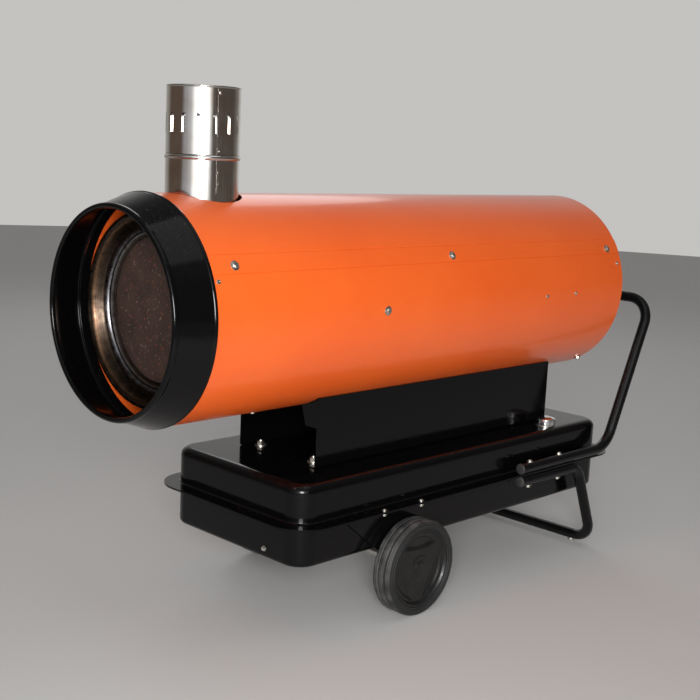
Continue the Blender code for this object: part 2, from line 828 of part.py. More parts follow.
def make_drive():
    """The motor on its mount, turning the fan behind it and, through a coupling, the fuel pump in front."""
    shoulder = motor_radius * motor_shoulder_share
    nose = motor_boss_length / 2
    profile = [(shaft_bore_radius, motor_rear + motor_boss_length), (motor_boss_radius, motor_rear + motor_boss_length),
               (motor_boss_radius, motor_rear), (shoulder, motor_rear), (motor_radius, motor_rear - nose),
               (motor_radius, motor_front + nose), (shoulder, motor_front), (motor_boss_radius, motor_front),
               (motor_boss_radius, motor_front - motor_boss_length),
               (shaft_bore_radius, motor_front - motor_boss_length)]
    turned("fan_motor", profile, cast_alloy, on_barrel(0.0), pipe_steps, ring=True)

    centre = (0.0, barrel_height)
    band_inner = around(motor_radius + clearance, math.pi / pipe_steps)
    band_outer = band_inner + mount_band
    reach = inside(casing_inner_radius, math.pi / barrel_steps) - clearance
    inner_half = math.asin(mount_arm_width / 2 / band_outer)
    outer_half = math.asin(mount_arm_width / 2 / reach)
    outline = []
    for i in range(mount_arm_count):
        turn = 2 * math.pi * i / mount_arm_count
        next_turn = 2 * math.pi * (i + 1) / mount_arm_count
        outline += [barrel_point(reach, turn - outer_half), barrel_point(reach, turn + outer_half)]
        outline += arc(band_outer, turn + inner_half, next_turn - inner_half, 5, centre)
    band = arc(band_inner, 0.0, 2 * math.pi, pipe_steps, centre)[:-1]
    plate("motor_mount", (outline, band), plate_sheet, black_paint, "YZ", motor_rear - motor_length * mount_share)

    hub_front = motor_rear + motor_boss_length + clearance
    fan_x = hub_front + fan_hub_length / 2
    shaft_front = coupling_front + coupling_length / 2
    disc("motor_shaft", shaft_radius, shaft_front, fan_x + fan_hub_length / 2 - clearance, zinc_plate, on_barrel(0.0))

    half_hub = fan_hub_length / 2
    step = half_hub / 3
    profile = [(shaft_bore_radius, half_hub), (2 * shaft_radius, half_hub), (2 * shaft_radius + step, step),
               (fan_hub_radius, step), (fan_hub_radius, -half_hub), (shaft_bore_radius, -half_hub)]
    fan = turned("fan_rotor", profile, cast_alloy, on_barrel(fan_x), pipe_steps, ring=True)
    for i in range(fan_blade_count):
        join(fan, make_blade(i, fan_x))

    middle = (coupling_front + coupling_rear) / 2
    groove = coupling_radius / 4
    seat = shaft_front - clearance
    profile = [(0.0, seat), (shaft_bore_radius, seat), (shaft_bore_radius, coupling_rear),
               (coupling_radius, coupling_rear), (coupling_radius, middle + groove),
               (coupling_radius - groove, middle), (coupling_radius, middle - groove),
               (coupling_radius, coupling_front), (0.0, coupling_front)]
    turned("pump_coupling", profile, black_rubber, on_barrel(0.0), small_steps)

    half = pump_size / 2
    pump = block("fuel_pump", (pump_front, -half, barrel_height - half), (pump_rear, half, barrel_height + half),
                 cast_alloy, bevel=half / 8)
    cover = disc("pump_cover", half * pump_cover_share, pump_front - half / 4, pump_front + half / 4, None,
                 on_barrel(0.0), helper=True)
    neck_end = motor_front - clearance
    bore = pump_neck_radius - pump_neck_wall
    neck = turned("pump_neck", ((bore, neck_end), (pump_neck_radius, neck_end), (pump_neck_radius, pump_x),
                                (bore, pump_x)), None, on_barrel(0.0), pipe_steps, ring=True, helper=True)
    join(pump, cover, neck)
    cut(pump, disc("coupling_space", bore - clearance, pump_rear - clearance / 2, neck_end, None, on_barrel(0.0),
                   pipe_steps, helper=True))


def make_pedestal():
    """The folded channel that carries the barrel, with the transformer, control box and fuel filter in it."""
    top = under_barrel(pedestal_inner, pedestal_half_width, 1)[0][1]
    base = tank_top + clearance
    bend = arc(pedestal_bend, math.pi, 1.5 * math.pi, 3, (pedestal_bend - pedestal_half_width, base + pedestal_bend))
    section = [(-pedestal_half_width, top)] + bend + [(-y, z) for y, z in reversed(bend)] + [(pedestal_half_width, top)]
    channel = extruded_sheet("pedestal_channel", section, pedestal_front_x, pedestal_rear_x, frame_sheet, black_paint)
    outer = pedestal_half_width - frame_sheet / 2
    low = tank_top + tab_rise
    for side in (-1, 1):
        outline = [(side * outer, low)] + under_barrel(side * outer, side * tab_top_reach) + [(side * tab_bottom_reach, low)]
        tab = plate(f"tab_{side}", [outline], frame_sheet, None, "YZ", pedestal_front_x + frame_sheet, helper=True)
        join(channel, as_mesh(tab, helper=True))
    cut(channel, disc("pickup_hole", around(pickup_radius + clearance, math.pi / hole_steps), 0.0, 2 * tank_top, None,
                      at(pump_x, 0.0, tank_bottom), hole_steps, helper=True))

    floor_z = pedestal_floor_z + clearance
    front = pedestal_front_x + transformer_inset
    half = transformer_width / 2
    block("ignition_transformer", (front, transformer_offset - half, floor_z),
          (front + transformer_length, transformer_offset + half, floor_z + transformer_height), grey_plastic, box_edge)
    front += transformer_length + box_spacing
    half = control_box_width / 2
    block("control_box", (front, -half, floor_z), (front + control_box_length, half, floor_z + control_box_height),
          grey_plastic, box_edge)

    collar_top = floor_z + plate_sheet
    strainer_low = tank_bottom + frame_sheet + strainer_lift
    strainer_high = strainer_low + strainer_height
    profile = [(0.0, collar_top), (pickup_collar_radius, collar_top), (pickup_collar_radius, floor_z),
               (pickup_radius, floor_z), (pickup_radius, strainer_high), (strainer_radius, strainer_high),
               (strainer_radius, strainer_low), (0.0, strainer_low)]
    turned("tank_pickup", profile, zinc_plate, at(pump_x, 0.0, 0.0), hole_steps)

    low = collar_top + clearance
    high = low + filter_height
    head = low + 2 * filter_height / 3
    nipple_top = high + filter_nipple_length
    rib = filter_nipple_radius / 2
    profile = [(0.0, nipple_top), (filter_nipple_radius, nipple_top), (filter_nipple_radius, high),
               (filter_radius - rib, high), (filter_radius, high - rib), (filter_radius, head),
               (filter_radius - rib, head - rib), (filter_radius - rib, low + rib), (filter_radius - 2 * rib, low),
               (0.0, low)]
    turned("fuel_filter", profile, cast_alloy, at(pump_x, 0.0, 0.0), small_steps)
    pump_low = barrel_height - pump_size / 2 - clearance
    disc("suction_line", pipe_radius, nipple_top + clearance, pump_low, copper, at(pump_x, 0.0, 0.0), hole_steps)


def make_panel():
    """The plate that closes the pedestal's rear, with a selector, a reset button, a socket and a cable gland."""
    side = pedestal_inner - panel_side_gap
    low = pedestal_floor_z + clearance
    outline = [(-side, low + pedestal_bend), (pedestal_bend - side, low), (side - pedestal_bend, low),
               (side, low + pedestal_bend)] + under_barrel(side, -side, 12)
    gland_z = control_z - gland_drop

    def hole(y, z, radius):
        return arc(around(radius + clearance, math.pi / small_steps), 0.0, 2 * math.pi, small_steps, (y, z))[:-1]

    spindle_hole = hole(knob_across, control_z, knob_spindle_radius)
    button_hole = hole(button_across, control_z, button_radius)
    socket_hole = hole(socket_across, control_z, socket_body_radius)
    gland_hole = hole(gland_across, gland_z, gland_nose_radius)
    middle = panel_rear_x - frame_sheet / 2
    panel = as_mesh(plate("control_panel", (outline, spindle_hole, button_hole, socket_hole, gland_hole),
                          frame_sheet, grey_plastic, "YZ", middle))
    bore = around(button_radius + clearance, math.pi / small_steps)
    bezel = turned("bezel", ((bore, bezel_proud), (bore + bezel_width / 2, bezel_proud), (bore + bezel_width, 0.0),
                             (bore + bezel_width, -frame_sheet / 2), (bore, -frame_sheet / 2)), None,
                   at(panel_rear_x, button_across, control_z, AXES["+X"]), small_steps, ring=True, helper=True)
    join(panel, bezel)

    edge = pointer_width / 2
    profile = [(0.0, knob_height), (knob_radius - 2 * edge, knob_height), (knob_radius - edge, knob_height - edge),
               (knob_radius, edge), (knob_radius, 0.0), (knob_spindle_radius, 0.0),
               (knob_spindle_radius, -knob_spindle_length), (0.0, -knob_spindle_length)]
    knob = turned("selector_knob", profile, grey_plastic, at(panel_rear_x + clearance, knob_across, control_z, AXES["+X"]),
                  small_steps)
    knob_face = panel_rear_x + knob_height
    join(knob, block("pointer", (knob_face - 2 * edge, knob_across - edge, control_z - edge),
                     (knob_face + edge, knob_across + edge, control_z + knob_radius - edge), None, helper=True))

    profile = [(0.0, button_proud), (button_radius - button_shoulder, button_proud),
               (button_radius, button_proud - button_shoulder / 2), (button_radius, -frame_sheet - clearance),
               (button_radius + button_shoulder, -frame_sheet - clearance),
               (button_radius + button_shoulder, -frame_sheet - clearance - button_shoulder),
               (0.0, -frame_sheet - clearance - button_shoulder)]
    turned("reset_button", profile, red_plastic, at(panel_rear_x, button_across, control_z, AXES["+X"]), small_steps)

    make_socket()

    nut = clearance + gland_radius / 2
    profile = [(0.0, clearance), (gland_bore_radius, clearance), (gland_bore_radius, gland_length),
               (gland_nose_radius, gland_length), (gland_nose_radius, 2 * nut), (gland_radius, 2 * nut - clearance),
               (gland_radius, clearance), (gland_nose_radius, clearance), (gland_nose_radius, -2 * nut),
               (0.0, -2 * nut)]
    turned("cable_gland", profile, grey_plastic, at(panel_rear_x, gland_across, gland_z, AXES["+X"]), hole_steps)


def make_socket():
    """A round socket with a sprung flap, hinged on a pin between two ears over the mouth."""
    base_x = panel_rear_x + clearance
    mouth = socket_proud
    floor = mouth - socket_depth
    profile = [(0.0, floor), (socket_bore_radius, floor), (socket_bore_radius, mouth), (socket_radius - flap_sheet, mouth),
               (socket_radius, mouth - flap_sheet), (socket_radius, 0.0), (socket_body_radius, 0.0),
               (socket_body_radius, floor - flap_sheet), (0.0, floor - flap_sheet)]
    socket = turned("thermostat_socket", profile, grey_plastic, at(base_x, socket_across, control_z, AXES["+X"]), small_steps)
    flap_x = base_x + mouth + clearance
    hinge_x = flap_x + flap_sheet / 2
    hinge_z = control_z + socket_radius + knuckle_radius
    inner = knuckle_length / 2 + clearance
    outer = inner + ear_width
    for side in (-1, 1):
        ends = sorted((socket_across + side * inner, socket_across + side * outer))
        join(socket, block(f"ear_{side}", (base_x + flap_sheet, ends[0], control_z + socket_radius / 2),
                           (hinge_x + knuckle_radius, ends[1], hinge_z + knuckle_radius), None, helper=True))
    cut(socket, disc("pin_space", around(pin_radius + clearance, math.pi / hole_steps), -2 * outer, 2 * outer, None,
                     at(hinge_x, socket_across, hinge_z, AXES["+Y"]), hole_steps, helper=True))
    slot_low = control_z + socket_radius / 3
    cut(socket, block("flap_space", (flap_x - clearance, socket_across - outer - clearance, slot_low),
                      (hinge_x + knuckle_radius + cut_overrun, socket_across + outer + clearance,
                       control_z + socket_radius - flap_sheet), None, helper=True))

    strap = knuckle_length / 2
    flap = disc("socket_flap", knuckle_radius, -strap, strap, black_rubber,
                at(hinge_x, socket_across, hinge_z, AXES["+Y"]), hole_steps)
    join(flap,
         block("strap", (flap_x, socket_across - strap, control_z), (flap_x + flap_sheet, socket_across + strap, hinge_z),
               None, helper=True),
         disc("flap_disc", socket_radius - flap_sheet, 0.0, flap_sheet, None,
              at(flap_x, socket_across, control_z, AXES["+X"]), pipe_steps, helper=True),
         disc("pin", pin_radius, clearance - outer, outer - clearance, None,
              at(hinge_x, socket_across, hinge_z, AXES["+Y"]), hole_steps, helper=True))


def tray(name, rings, face_is_top):
    """A pressed tray: rounded rectangles lofted from the top down, closed at the flat face and thickened inward."""
    shape = bmesh.new()
    loops = []
    for half_x, half_y, radius, z in rings:
        points = rounded_rectangle(half_x, half_y, radius, tank_corner_steps)
        loops.append([shape.verts.new((x, y, z)) for x, y in points])
    for upper, lower in zip(loops, loops[1:]):
        count = len(upper)
        for i in range(count):
            following = (i + 1) % count
            shape.faces.new((upper[i], lower[i], lower[following], upper[following]))
    shape.faces.new(loops[0] if face_is_top else loops[-1][::-1])
    mesh = bpy.data.meshes.new(name)
    shape.to_mesh(mesh)
    shape.free()
    return thicken(add(name, mesh, black_paint, at(tank_x, 0.0, 0.0)), frame_sheet)


def make_tank():
    """Two deep-drawn trays welded flange to flange, with a filler and a drain plug."""
    def ring(grow, z):
        return tank_length / 2 + grow, tank_half_width + grow, tank_corner + grow, z

    turns = [math.pi / 4 * i for i in range(3)]
    curve = [(math.sin(turn) - 1, 1 - math.cos(turn)) for turn in turns]
    upper = [ring(tank_shoulder * grow, tank_top - tank_shoulder * drop) for grow, drop in curve]
    upper += [ring(0.0, flange_top_z + flange_bend), ring(flange_bend, flange_top_z), ring(flange_width, flange_top_z)]
    lower = [ring(flange_width, flange_bottom_z), ring(flange_bend, flange_bottom_z),
             ring(0.0, flange_bottom_z - flange_bend)]
    lower += [ring(tank_fillet * grow, tank_bottom + tank_fillet * drop) for grow, drop in reversed(curve)]
    tank_upper = tray("tank_upper", upper, True)
    tank_lower = tray("tank_lower", lower, False)

    filler_x = tank_rear_x - filler_inset
    filler_y = filler_edge - tank_half_width
    plug_z = tank_bottom + plug_rise
    plug_x = tank_front_x
    cut(tank_upper,
        disc("filler_hole", around(filler_radius + clearance, math.pi / small_steps), flange_top_z, 2 * tank_top, None,
             at(filler_x, filler_y, 0.0), small_steps, helper=True),
        disc("dip_hole", around(pickup_radius + clearance, math.pi / hole_steps), flange_top_z, 2 * tank_top, None,
             at(pump_x, 0.0, 0.0), hole_steps, helper=True))
    cut(tank_lower, disc("drain_hole", plug_shank_radius + 2 * clearance, -cut_overrun, cut_overrun, None,
                         at(plug_x, -plug_across, plug_z, AXES["-X"]), hole_steps, helper=True))

    bore = filler_radius - neck_wall
    flange = filler_radius + filler_flange_width
    rim = tank_top + filler_rise
    seat = tank_top + clearance
    profile = [(bore, rim), (filler_radius, rim), (filler_radius, seat + neck_wall), (flange, seat + neck_wall),
               (flange, seat), (filler_radius, seat), (filler_radius, tank_top - neck_depth),
               (bore, tank_top - neck_depth)]
    turned("filler_neck", profile, zinc_plate, at(filler_x, filler_y, 0.0), small_steps, ring=True)

    plug = bore - 2 * clearance
    inner = cap_radius - cap_wall
    low = rim + clearance
    high = low + gasket_sheet
    profile = [(plug + clearance, high), (inner - clearance, high), (inner - clearance, low), (plug + clearance, low)]
    turned("cap_gasket", profile, black_rubber, at(filler_x, filler_y, 0.0), small_steps, ring=True)
    under = high + clearance
    cap_low = seat + neck_wall + clearance
    top = cap_low + cap_height
    edge = cap_wall / 2
    profile = [(0.0, top + cap_crown), (inner / 2, top + cap_crown - edge / 2), (cap_radius - 2 * edge, top),
               (cap_radius - edge / 2, top - edge / 2), (cap_radius, top - 2 * edge), (cap_radius, cap_low), (inner, cap_low),
               (inner, under), (plug, under), (plug, under - cap_plug_depth), (0.0, under - cap_plug_depth)]
    turned("filler_cap", profile, chrome, at(filler_x, filler_y, 0.0), small_steps)

    profile = [(0.0, plug_reach), (plug_radius, plug_reach), (plug_radius, clearance), (plug_shank_radius, clearance),
               (plug_shank_radius, -plug_reach), (0.0, -plug_reach)]
    turned("drain_plug", profile, zinc_plate, at(plug_x, -plug_across, plug_z, AXES["-X"]), 6)


def make_tubes():
    """The handle lies on the tank's flange and the leg hangs under it, each one bent tube with plugged ends."""
    grip_x = front_x + total_length - tube_radius
    grip_z = barrel_height - grip_drop
    high = flange_top_z + clearance + tube_radius
    corner_x = grip_x - (grip_z - high) * math.tan(handle_angle)
    points = [(tube_front_x, -tube_across, high), (corner_x, -tube_across, high), (grip_x, -tube_across, grip_z),
              (grip_x, tube_across, grip_z), (corner_x, tube_across, high), (tube_front_x, tube_across, high)]
    radii = (handle_low_bend, handle_top_bend, handle_top_bend, handle_low_bend)
    tube("handle_tube", rounded(points, radii), tube_radius, black_paint, tube_resolution, tube_wall)

    low = flange_bottom_z - clearance - tube_radius
    bar_z = foot_height + tube_radius
    leg_x = tank_rear_x - leg_inset
    bar_x = leg_x + (low - bar_z) * math.tan(leg_angle)
    points = [(tube_front_x, -tube_across, low), (leg_x, -tube_across, low), (bar_x, -tube_across, bar_z),
              (bar_x, tube_across, bar_z), (leg_x, tube_across, low), (tube_front_x, tube_across, low)]
    leg = tube("leg_tube", rounded(points, [leg_bend] * 4), tube_radius, black_paint, tube_resolution, tube_wall)
    for side in (-1, 1):
        join(leg, disc(f"foot_{side}", foot_radius, 0.0, foot_height + tube_wall * 2, None,
                       at(bar_x, side * foot_across, 0.0), hole_steps, helper=True))

    head = end_cap_head
    shank = tube_bore_radius - clearance
    profile = [(0.0, head), (tube_radius - 2 * end_cap_edge, head), (tube_radius - end_cap_edge / 2, head - end_cap_edge),
               (tube_radius, head - 2 * end_cap_edge), (tube_radius, clearance), (shank, clearance),
               (shank, -end_cap_shank), (0.0, -end_cap_shank)]
    for kind, z in (("handle", high), ("leg", low)):
        for name, side in (("near", -1), ("far", 1)):
            turned(f"{kind}_cap_{name}", profile, black_rubber, at(tube_front_x, side * tube_across, z, AXES["-X"]),
                   hole_steps)


def make_wheel(name, side):
    """A ribbed tyre on a moulded hub with three pockets, and a cap over the axle's end."""
    turn = AXES["+Y"] if side > 0 else AXES["-Y"]
    half = wheel_width / 2
    centre_y = side * (wheel_outer_face - half)
    place = at(wheel_x, centre_y, wheel_radius, turn)
    rim = rim_radius + clearance
    tread = [(wheel_radius - tyre_shoulder, half), (wheel_radius, half - tyre_shoulder)]
    for share in reversed(tread_groove_shares):
        middle = share * wheel_width
        tread += [(wheel_radius, middle + tread_groove), (wheel_radius - tread_depth, middle),
                  (wheel_radius, middle - tread_groove)]
    tread += [(wheel_radius, tyre_shoulder - half), (wheel_radius - tyre_shoulder, -half)]
    turned(f"tyre_{name}", [(rim, half - rim_inset), (rim + rim_inset, half)] + tread
           + [(rim + rim_inset, -half), (rim, rim_inset - half)], black_rubber, place, wheel_steps, ring=True)

    bore = axle_radius + hub_bore_gap
    face = half - hub_recess
    web_back = face - hub_web
    inner_rim = rim_radius - rim_wall
    edge = half - rim_inset
    boss_in = bracket_face + clearance - (wheel_outer_face - half)
    profile = [(bore, face), (inner_rim - rim_inset, face), (inner_rim, edge), (rim_radius, edge), (rim_radius, -edge),
               (inner_rim, -edge), (inner_rim, web_back), (hub_boss_radius, web_back), (hub_boss_radius, boss_in),
               (bore, boss_in)]
    hub = turned(f"hub_{name}", profile, grey_plastic, place, wheel_steps, ring=True)
    low = hub_boss_radius + pocket_margin / 2
    high = inner_rim - pocket_margin
    reach = math.pi / pocket_count - pocket_spoke_angle / 2
    for i in range(pocket_count):
        middle = math.pi / 2 + 2 * math.pi * i / pocket_count
        outline = arc(high, middle - reach, middle + reach, pocket_steps)
        outline += arc(low, middle + reach, middle - reach, pocket_steps // 2)
        pocket = plate(f"pocket_{name}_{i}", [outline], 2 * pocket_depth, None, "XY", 0.0, helper=True)
        pocket.matrix_world = place @ Matrix.Translation((0.0, 0.0, face))
        cut(hub, as_mesh(pocket, helper=True))

    seat = face + clearance
    profile = [(0.0, seat + hub_cap_height), (hub_cap_radius / 2, seat + hub_cap_height - hub_cap_edge / 2),
               (hub_cap_radius - hub_cap_edge, seat + hub_cap_height - 2 * hub_cap_edge),
               (hub_cap_radius, seat + hub_cap_edge), (hub_cap_radius, seat), (0.0, seat)]
    turned(f"hub_cap_{name}", profile, grey_plastic, place, small_steps)


def make_axle():
    """The axle through two brackets that are bolted under the tank's flange."""
    end = wheel_outer_face - hub_recess - clearance
    disc("axle", axle_radius, -end, end, zinc_plate, at(wheel_x, 0.0, wheel_radius, AXES["+Y"]), small_steps)
    top = flange_bottom_z - clearance
    front = wheel_x - bracket_front_reach
    rear = wheel_x + bracket_rear_reach
    hole = arc(around(axle_radius + clearance, math.pi / small_steps), 0.0, 2 * math.pi, small_steps,
               (wheel_x, wheel_radius))[:-1]
    boss = arc(bracket_boss_radius, -math.radians(155), -math.radians(25), 8, (wheel_x, wheel_radius))
    outline = [(front, top - bracket_knee)] + boss + [(rear, top - bracket_knee), (rear, top), (front, top)]
    middle = bracket_face - bracket_sheet / 2
    for name, side in (("near", -1), ("far", 1)):
        bracket = as_mesh(plate(f"axle_bracket_{name}", (outline, hole), bracket_sheet, black_paint, "XZ",
                                -side * middle))
        ends = sorted((side * middle, side * bracket_lip_reach))
        join(bracket, block(f"lip_{name}", (front + clearance, ends[0], top - bracket_sheet),
                            (rear - clearance, ends[1], top - clearance / 3), None, helper=True))


make_casing()
make_outlet_cone()
make_intake_end()
make_drum()
make_flue()
make_burner()
make_drive()
make_pedestal()
make_panel()
make_tank()
make_tubes()
make_axle()
make_wheel("near", -1)
make_wheel("far", 1)
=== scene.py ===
import math

import bmesh
import bpy
from mathutils import Matrix, Vector


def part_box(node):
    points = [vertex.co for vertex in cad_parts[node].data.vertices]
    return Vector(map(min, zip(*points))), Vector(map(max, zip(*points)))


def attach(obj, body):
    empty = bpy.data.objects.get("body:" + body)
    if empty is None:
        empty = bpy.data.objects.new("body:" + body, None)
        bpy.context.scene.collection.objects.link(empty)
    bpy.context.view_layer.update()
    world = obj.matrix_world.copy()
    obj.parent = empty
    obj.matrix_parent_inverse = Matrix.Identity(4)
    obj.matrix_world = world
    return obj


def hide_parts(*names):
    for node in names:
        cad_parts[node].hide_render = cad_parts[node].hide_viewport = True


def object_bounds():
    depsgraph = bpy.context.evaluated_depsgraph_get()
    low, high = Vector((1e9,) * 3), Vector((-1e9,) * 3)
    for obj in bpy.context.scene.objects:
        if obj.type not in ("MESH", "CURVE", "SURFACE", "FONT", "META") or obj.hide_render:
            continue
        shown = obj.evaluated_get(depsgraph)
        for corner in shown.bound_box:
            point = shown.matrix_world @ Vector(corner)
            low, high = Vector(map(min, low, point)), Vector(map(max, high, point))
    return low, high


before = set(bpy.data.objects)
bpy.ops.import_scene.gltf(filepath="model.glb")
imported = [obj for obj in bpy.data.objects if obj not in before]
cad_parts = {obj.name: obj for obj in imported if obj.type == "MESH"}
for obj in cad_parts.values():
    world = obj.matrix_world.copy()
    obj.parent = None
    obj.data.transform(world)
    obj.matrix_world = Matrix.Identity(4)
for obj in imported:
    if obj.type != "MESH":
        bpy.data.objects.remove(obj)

cad_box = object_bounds()


# Barrel casing: two half shells of 1.2 mm sheet, rolled to 375 mm and powder coated orange. At each
# side the upper shell steps out over the lower one's edge in a lap of 34 mm, and is screwed through it.

def colour(code):
    """A paint colour from its hex sRGB code."""
    levels = [int(code[i:i + 2], 16) / 255 for i in (0, 2, 4)]
    return tuple(v / 12.92 if v < 0.04045 else ((v + 0.055) / 1.055) ** 2.4 for v in levels) + (1.0,)


def wire(target, inputs):
    """Fills a node's sockets with values, or links them to other nodes."""
    for key, value in inputs.items():
        if isinstance(value, bpy.types.Node):
            value = next(socket for socket in value.outputs if socket.enabled)
        if isinstance(value, bpy.types.NodeSocket):
            target.id_data.links.new(value, target.inputs[key])
        else:
            target.inputs[key].default_value = value


def node(tree, kind, inputs=None, stops=(), **settings):
    """Adds a node with its settings, its inputs and, on a ramp, its (place, colour) stops."""
    new = tree.nodes.new(kind)
    for key, value in settings.items():
        setattr(new, key, value)
    wire(new, inputs or {})
    for i, (place, code) in enumerate(stops):
        mark = new.color_ramp.elements[i] if i < 2 else new.color_ramp.elements.new(place)
        mark.position, mark.color = place, colour(code)
    return new


def finish(name, code, roughness, metallic=0.0, clouds=(), film=(), grain=(), film_on="Roughness", **constants):
    """A material with one shader. Returns it, its tree, its shader and the object's coordinates.

    Each layer is a noise, given by its size in metres and its detail. Clouds add their colour stops, a
    film adds the noise's range and the roughness at both ends, and a grain adds its height and strength.
    """
    material = bpy.data.materials.new(name)
    material.use_nodes = True
    material.diffuse_color = colour(code)
    tree = material.node_tree
    shader = tree.nodes["Principled BSDF"]
    wire(shader, {"Base Color": colour(code), "Roughness": roughness, "Metallic": metallic})
    wire(shader, {key.replace("_", " "): value for key, value in constants.items()})
    place = node(tree, "ShaderNodeTexCoord").outputs["Object"]
    for socket, layer in (("Base Color", clouds), (film_on, film), ("Normal", grain)):
        if not layer:
            continue
        size, detail, *rest = layer
        noise = node(tree, "ShaderNodeTexNoise", {"Vector": place, "Scale": 1 / size, "Detail": detail})
        if layer is clouds:
            noise = node(tree, "ShaderNodeValToRGB", {"Fac": noise}, *rest)
        elif layer is film:
            noise = node(tree, "ShaderNodeMapRange", {0: noise, **dict(enumerate(rest, 1))})
        else:
            noise = node(tree, "ShaderNodeBump", {"Height": noise, **dict(zip(("Distance", "Strength"), rest))})
        wire(shader, {socket: noise})
    return material, tree, shader, place


# Orange powder coat: a hazy gloss under a clear one, with an orange peel drawn at 5 mm so that it
# shows, and the faint clouds of the spray, 180 mm across.
orange, *_ = finish(
    "orange_powder_coat", "E9601F", 0.4, clouds=(0.18, 4, ((0.35, "EB6422"), (0.7, "E65D1D"))),
    film=(0.05, 4, 0.3, 0.75, 0.11, 0.19), film_on="Coat Roughness", grain=(0.005, 1, 0.00002, 0.5),
    IOR=1.45, Coat_Weight=0.5)

barrel_height = 0.557
casing_radius = 0.1871
casing_front, casing_rear = (corner.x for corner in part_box("casing_upper"))
sheet = 0.0012
# The lap starts at the seam. The upper shell stands out along it and then drops into a crease, and
# the lower shell's edge is tucked under it. The crease's points are a step apart or more.
seam, lap, step = math.radians(23.8), math.radians(10.5), math.radians(0.15)
stand_out, tuck, crease_depth = 0.0007, 0.0009, 0.0007


def offset(line, distance):
    """The line moved sideways, to its left for a positive distance."""
    points = [Vector(p) for p in line]
    ways = [(b - a).normalized() for a, b in zip(points, points[1:])]
    ways = [ways[0]] + ways + [ways[-1]]
    moved = []
    for point, before, after in zip(points, ways, ways[1:]):
        left = Vector((-before.y - after.y, before.x + after.x)).normalized()
        moved.append(point + left * distance / max(0.5, left.dot(Vector((-after.y, after.x)))))
    return moved


def around(radius, first, last, steps, centre=(0.0, 0.0)):
    """Points on an arc."""
    turns = [first + (last - first) * i / max(1, steps) for i in range(steps + 1)]
    return [(centre[0] + radius * math.cos(turn), centre[1] + radius * math.sin(turn)) for turn in turns]


def placed(name, data):
    """A new object in the scene."""
    thing = bpy.data.objects.new(name, data)
    bpy.context.scene.collection.objects.link(thing)
    return thing


def smoothed(mesh, sharp=32):
    """Shades a mesh smooth, but for edges that turn by more than this many degrees."""
    mesh.shade_smooth()
    mesh.set_sharp_from_angle(angle=math.radians(sharp))
    return mesh


def made(name, shape, place=Matrix(), sharp=32):
    """Turns a bmesh into a piece in its place."""
    bmesh.ops.remove_doubles(shape, verts=shape.verts, dist=1e-6)
    bmesh.ops.recalc_face_normals(shape, faces=shape.faces)
    shape.transform(place)
    mesh = bpy.data.meshes.new(name)
    shape.to_mesh(mesh)
    shape.free()
    return placed(name, smoothed(mesh, sharp))


def plain(thing):
    """What a curve or a piece with modifiers shows, as a mesh."""
    return bpy.data.meshes.new_from_object(thing.evaluated_get(bpy.context.evaluated_depsgraph_get()))


def settled(piece):
    """Makes what the modifiers show the piece's own plain mesh."""
    mesh = plain(piece)
    piece.modifiers.clear()
    piece.data = smoothed(mesh)
    return piece


def pierced(piece, *cutters):
    """Cuts the cutters out of a piece and removes them."""
    for cutter in cutters:
        modifier = piece.modifiers.new("cut", "BOOLEAN")
        modifier.object = cutter
        modifier.solver = "EXACT"
    settled(piece)
    for cutter in cutters:
        bpy.data.objects.remove(cutter)
    return piece


def fitted(piece, material, body, slot, *stands_for):
    """Gives a piece its material and its place in the frame."""
    piece.data.materials.clear()
    piece.data.materials.append(material)
    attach(piece, body)
    if stands_for:
        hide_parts(*stands_for)
    return piece


def folded_sheet(name, line, first, last, thickness, columns=1, place=Matrix()):
    """A bent sheet: a line across it drawn along its length, with its thickness to the left."""
    inner = offset(line, thickness)
    outline = [Vector(p) for p in line] + inner[::-1]
    shape = bmesh.new()
    rows = []
    for i in range(columns + 1):
        x = first + (last - first) * i / columns
        rows.append([shape.verts.new((x, p[0], p[1])) for p in outline])
    count = len(outline)
    for low, high in zip(rows, rows[1:]):
        for i in range(count):
            shape.faces.new((low[i], low[(i + 1) % count], high[(i + 1) % count], high[i]))
    for row in (rows[0], rows[-1]):
        for i in range(count // 2 - 1):
            shape.faces.new((row[i], row[i + 1], row[count - 2 - i], row[count - 1 - i]))
    return made(name, shape, place)


def rod(name, radius, length, place, steps=96):
    """A plain round bar along the Z of its place, half of it on each side."""
    shape = bmesh.new()
    bmesh.ops.create_cone(shape, cap_ends=True, segments=steps, radius1=radius, radius2=radius, depth=length)
    return made(name, shape, place)


flue_x, flue_hole, flue_hole_top = -0.465, 0.0655, 0.8
centre = (0.0, barrel_height)
crease = ((casing_radius + stand_out, -7), (casing_radius + stand_out, -6), (casing_radius - crease_depth, -3),
          (casing_radius, 0))
line = around(casing_radius + stand_out, seam, seam + lap - 8 * step, 6, centre)
line += [around(radius, seam + lap + turn * step, 0.0, 0, centre)[0] for radius, turn in crease]
line += around(casing_radius, seam + lap + step, math.pi - seam - lap - step, 72, centre)
line += [around(radius, math.pi - seam - lap - turn * step, 0.0, 0, centre)[0] for radius, turn in crease[::-1]]
line += around(casing_radius + stand_out, math.pi - seam - lap + 8 * step, math.pi - seam, 6, centre)
upper = folded_sheet("casing_upper_shell", line, casing_front, casing_rear, sheet, 24)
pierced(upper, rod("flue_hole", flue_hole, flue_hole_top - barrel_height,
                   Matrix.Translation((flue_x, 0.0, (barrel_height + flue_hole_top) / 2))))
fitted(upper, orange, "heater", "orange_paint", "casing_upper")
start = math.pi - seam
line = around(casing_radius - tuck, start - lap + 6 * step, start - step, 6, centre)
line += around(casing_radius, start + 0.5 * step, 2 * math.pi + seam - 0.5 * step, 150, centre)
line += around(casing_radius - tuck, 2 * math.pi + seam + step, 2 * math.pi + seam + lap - 6 * step, 6, centre)
lower = folded_sheet("casing_lower_shell", line, casing_front, casing_rear, sheet, 24)
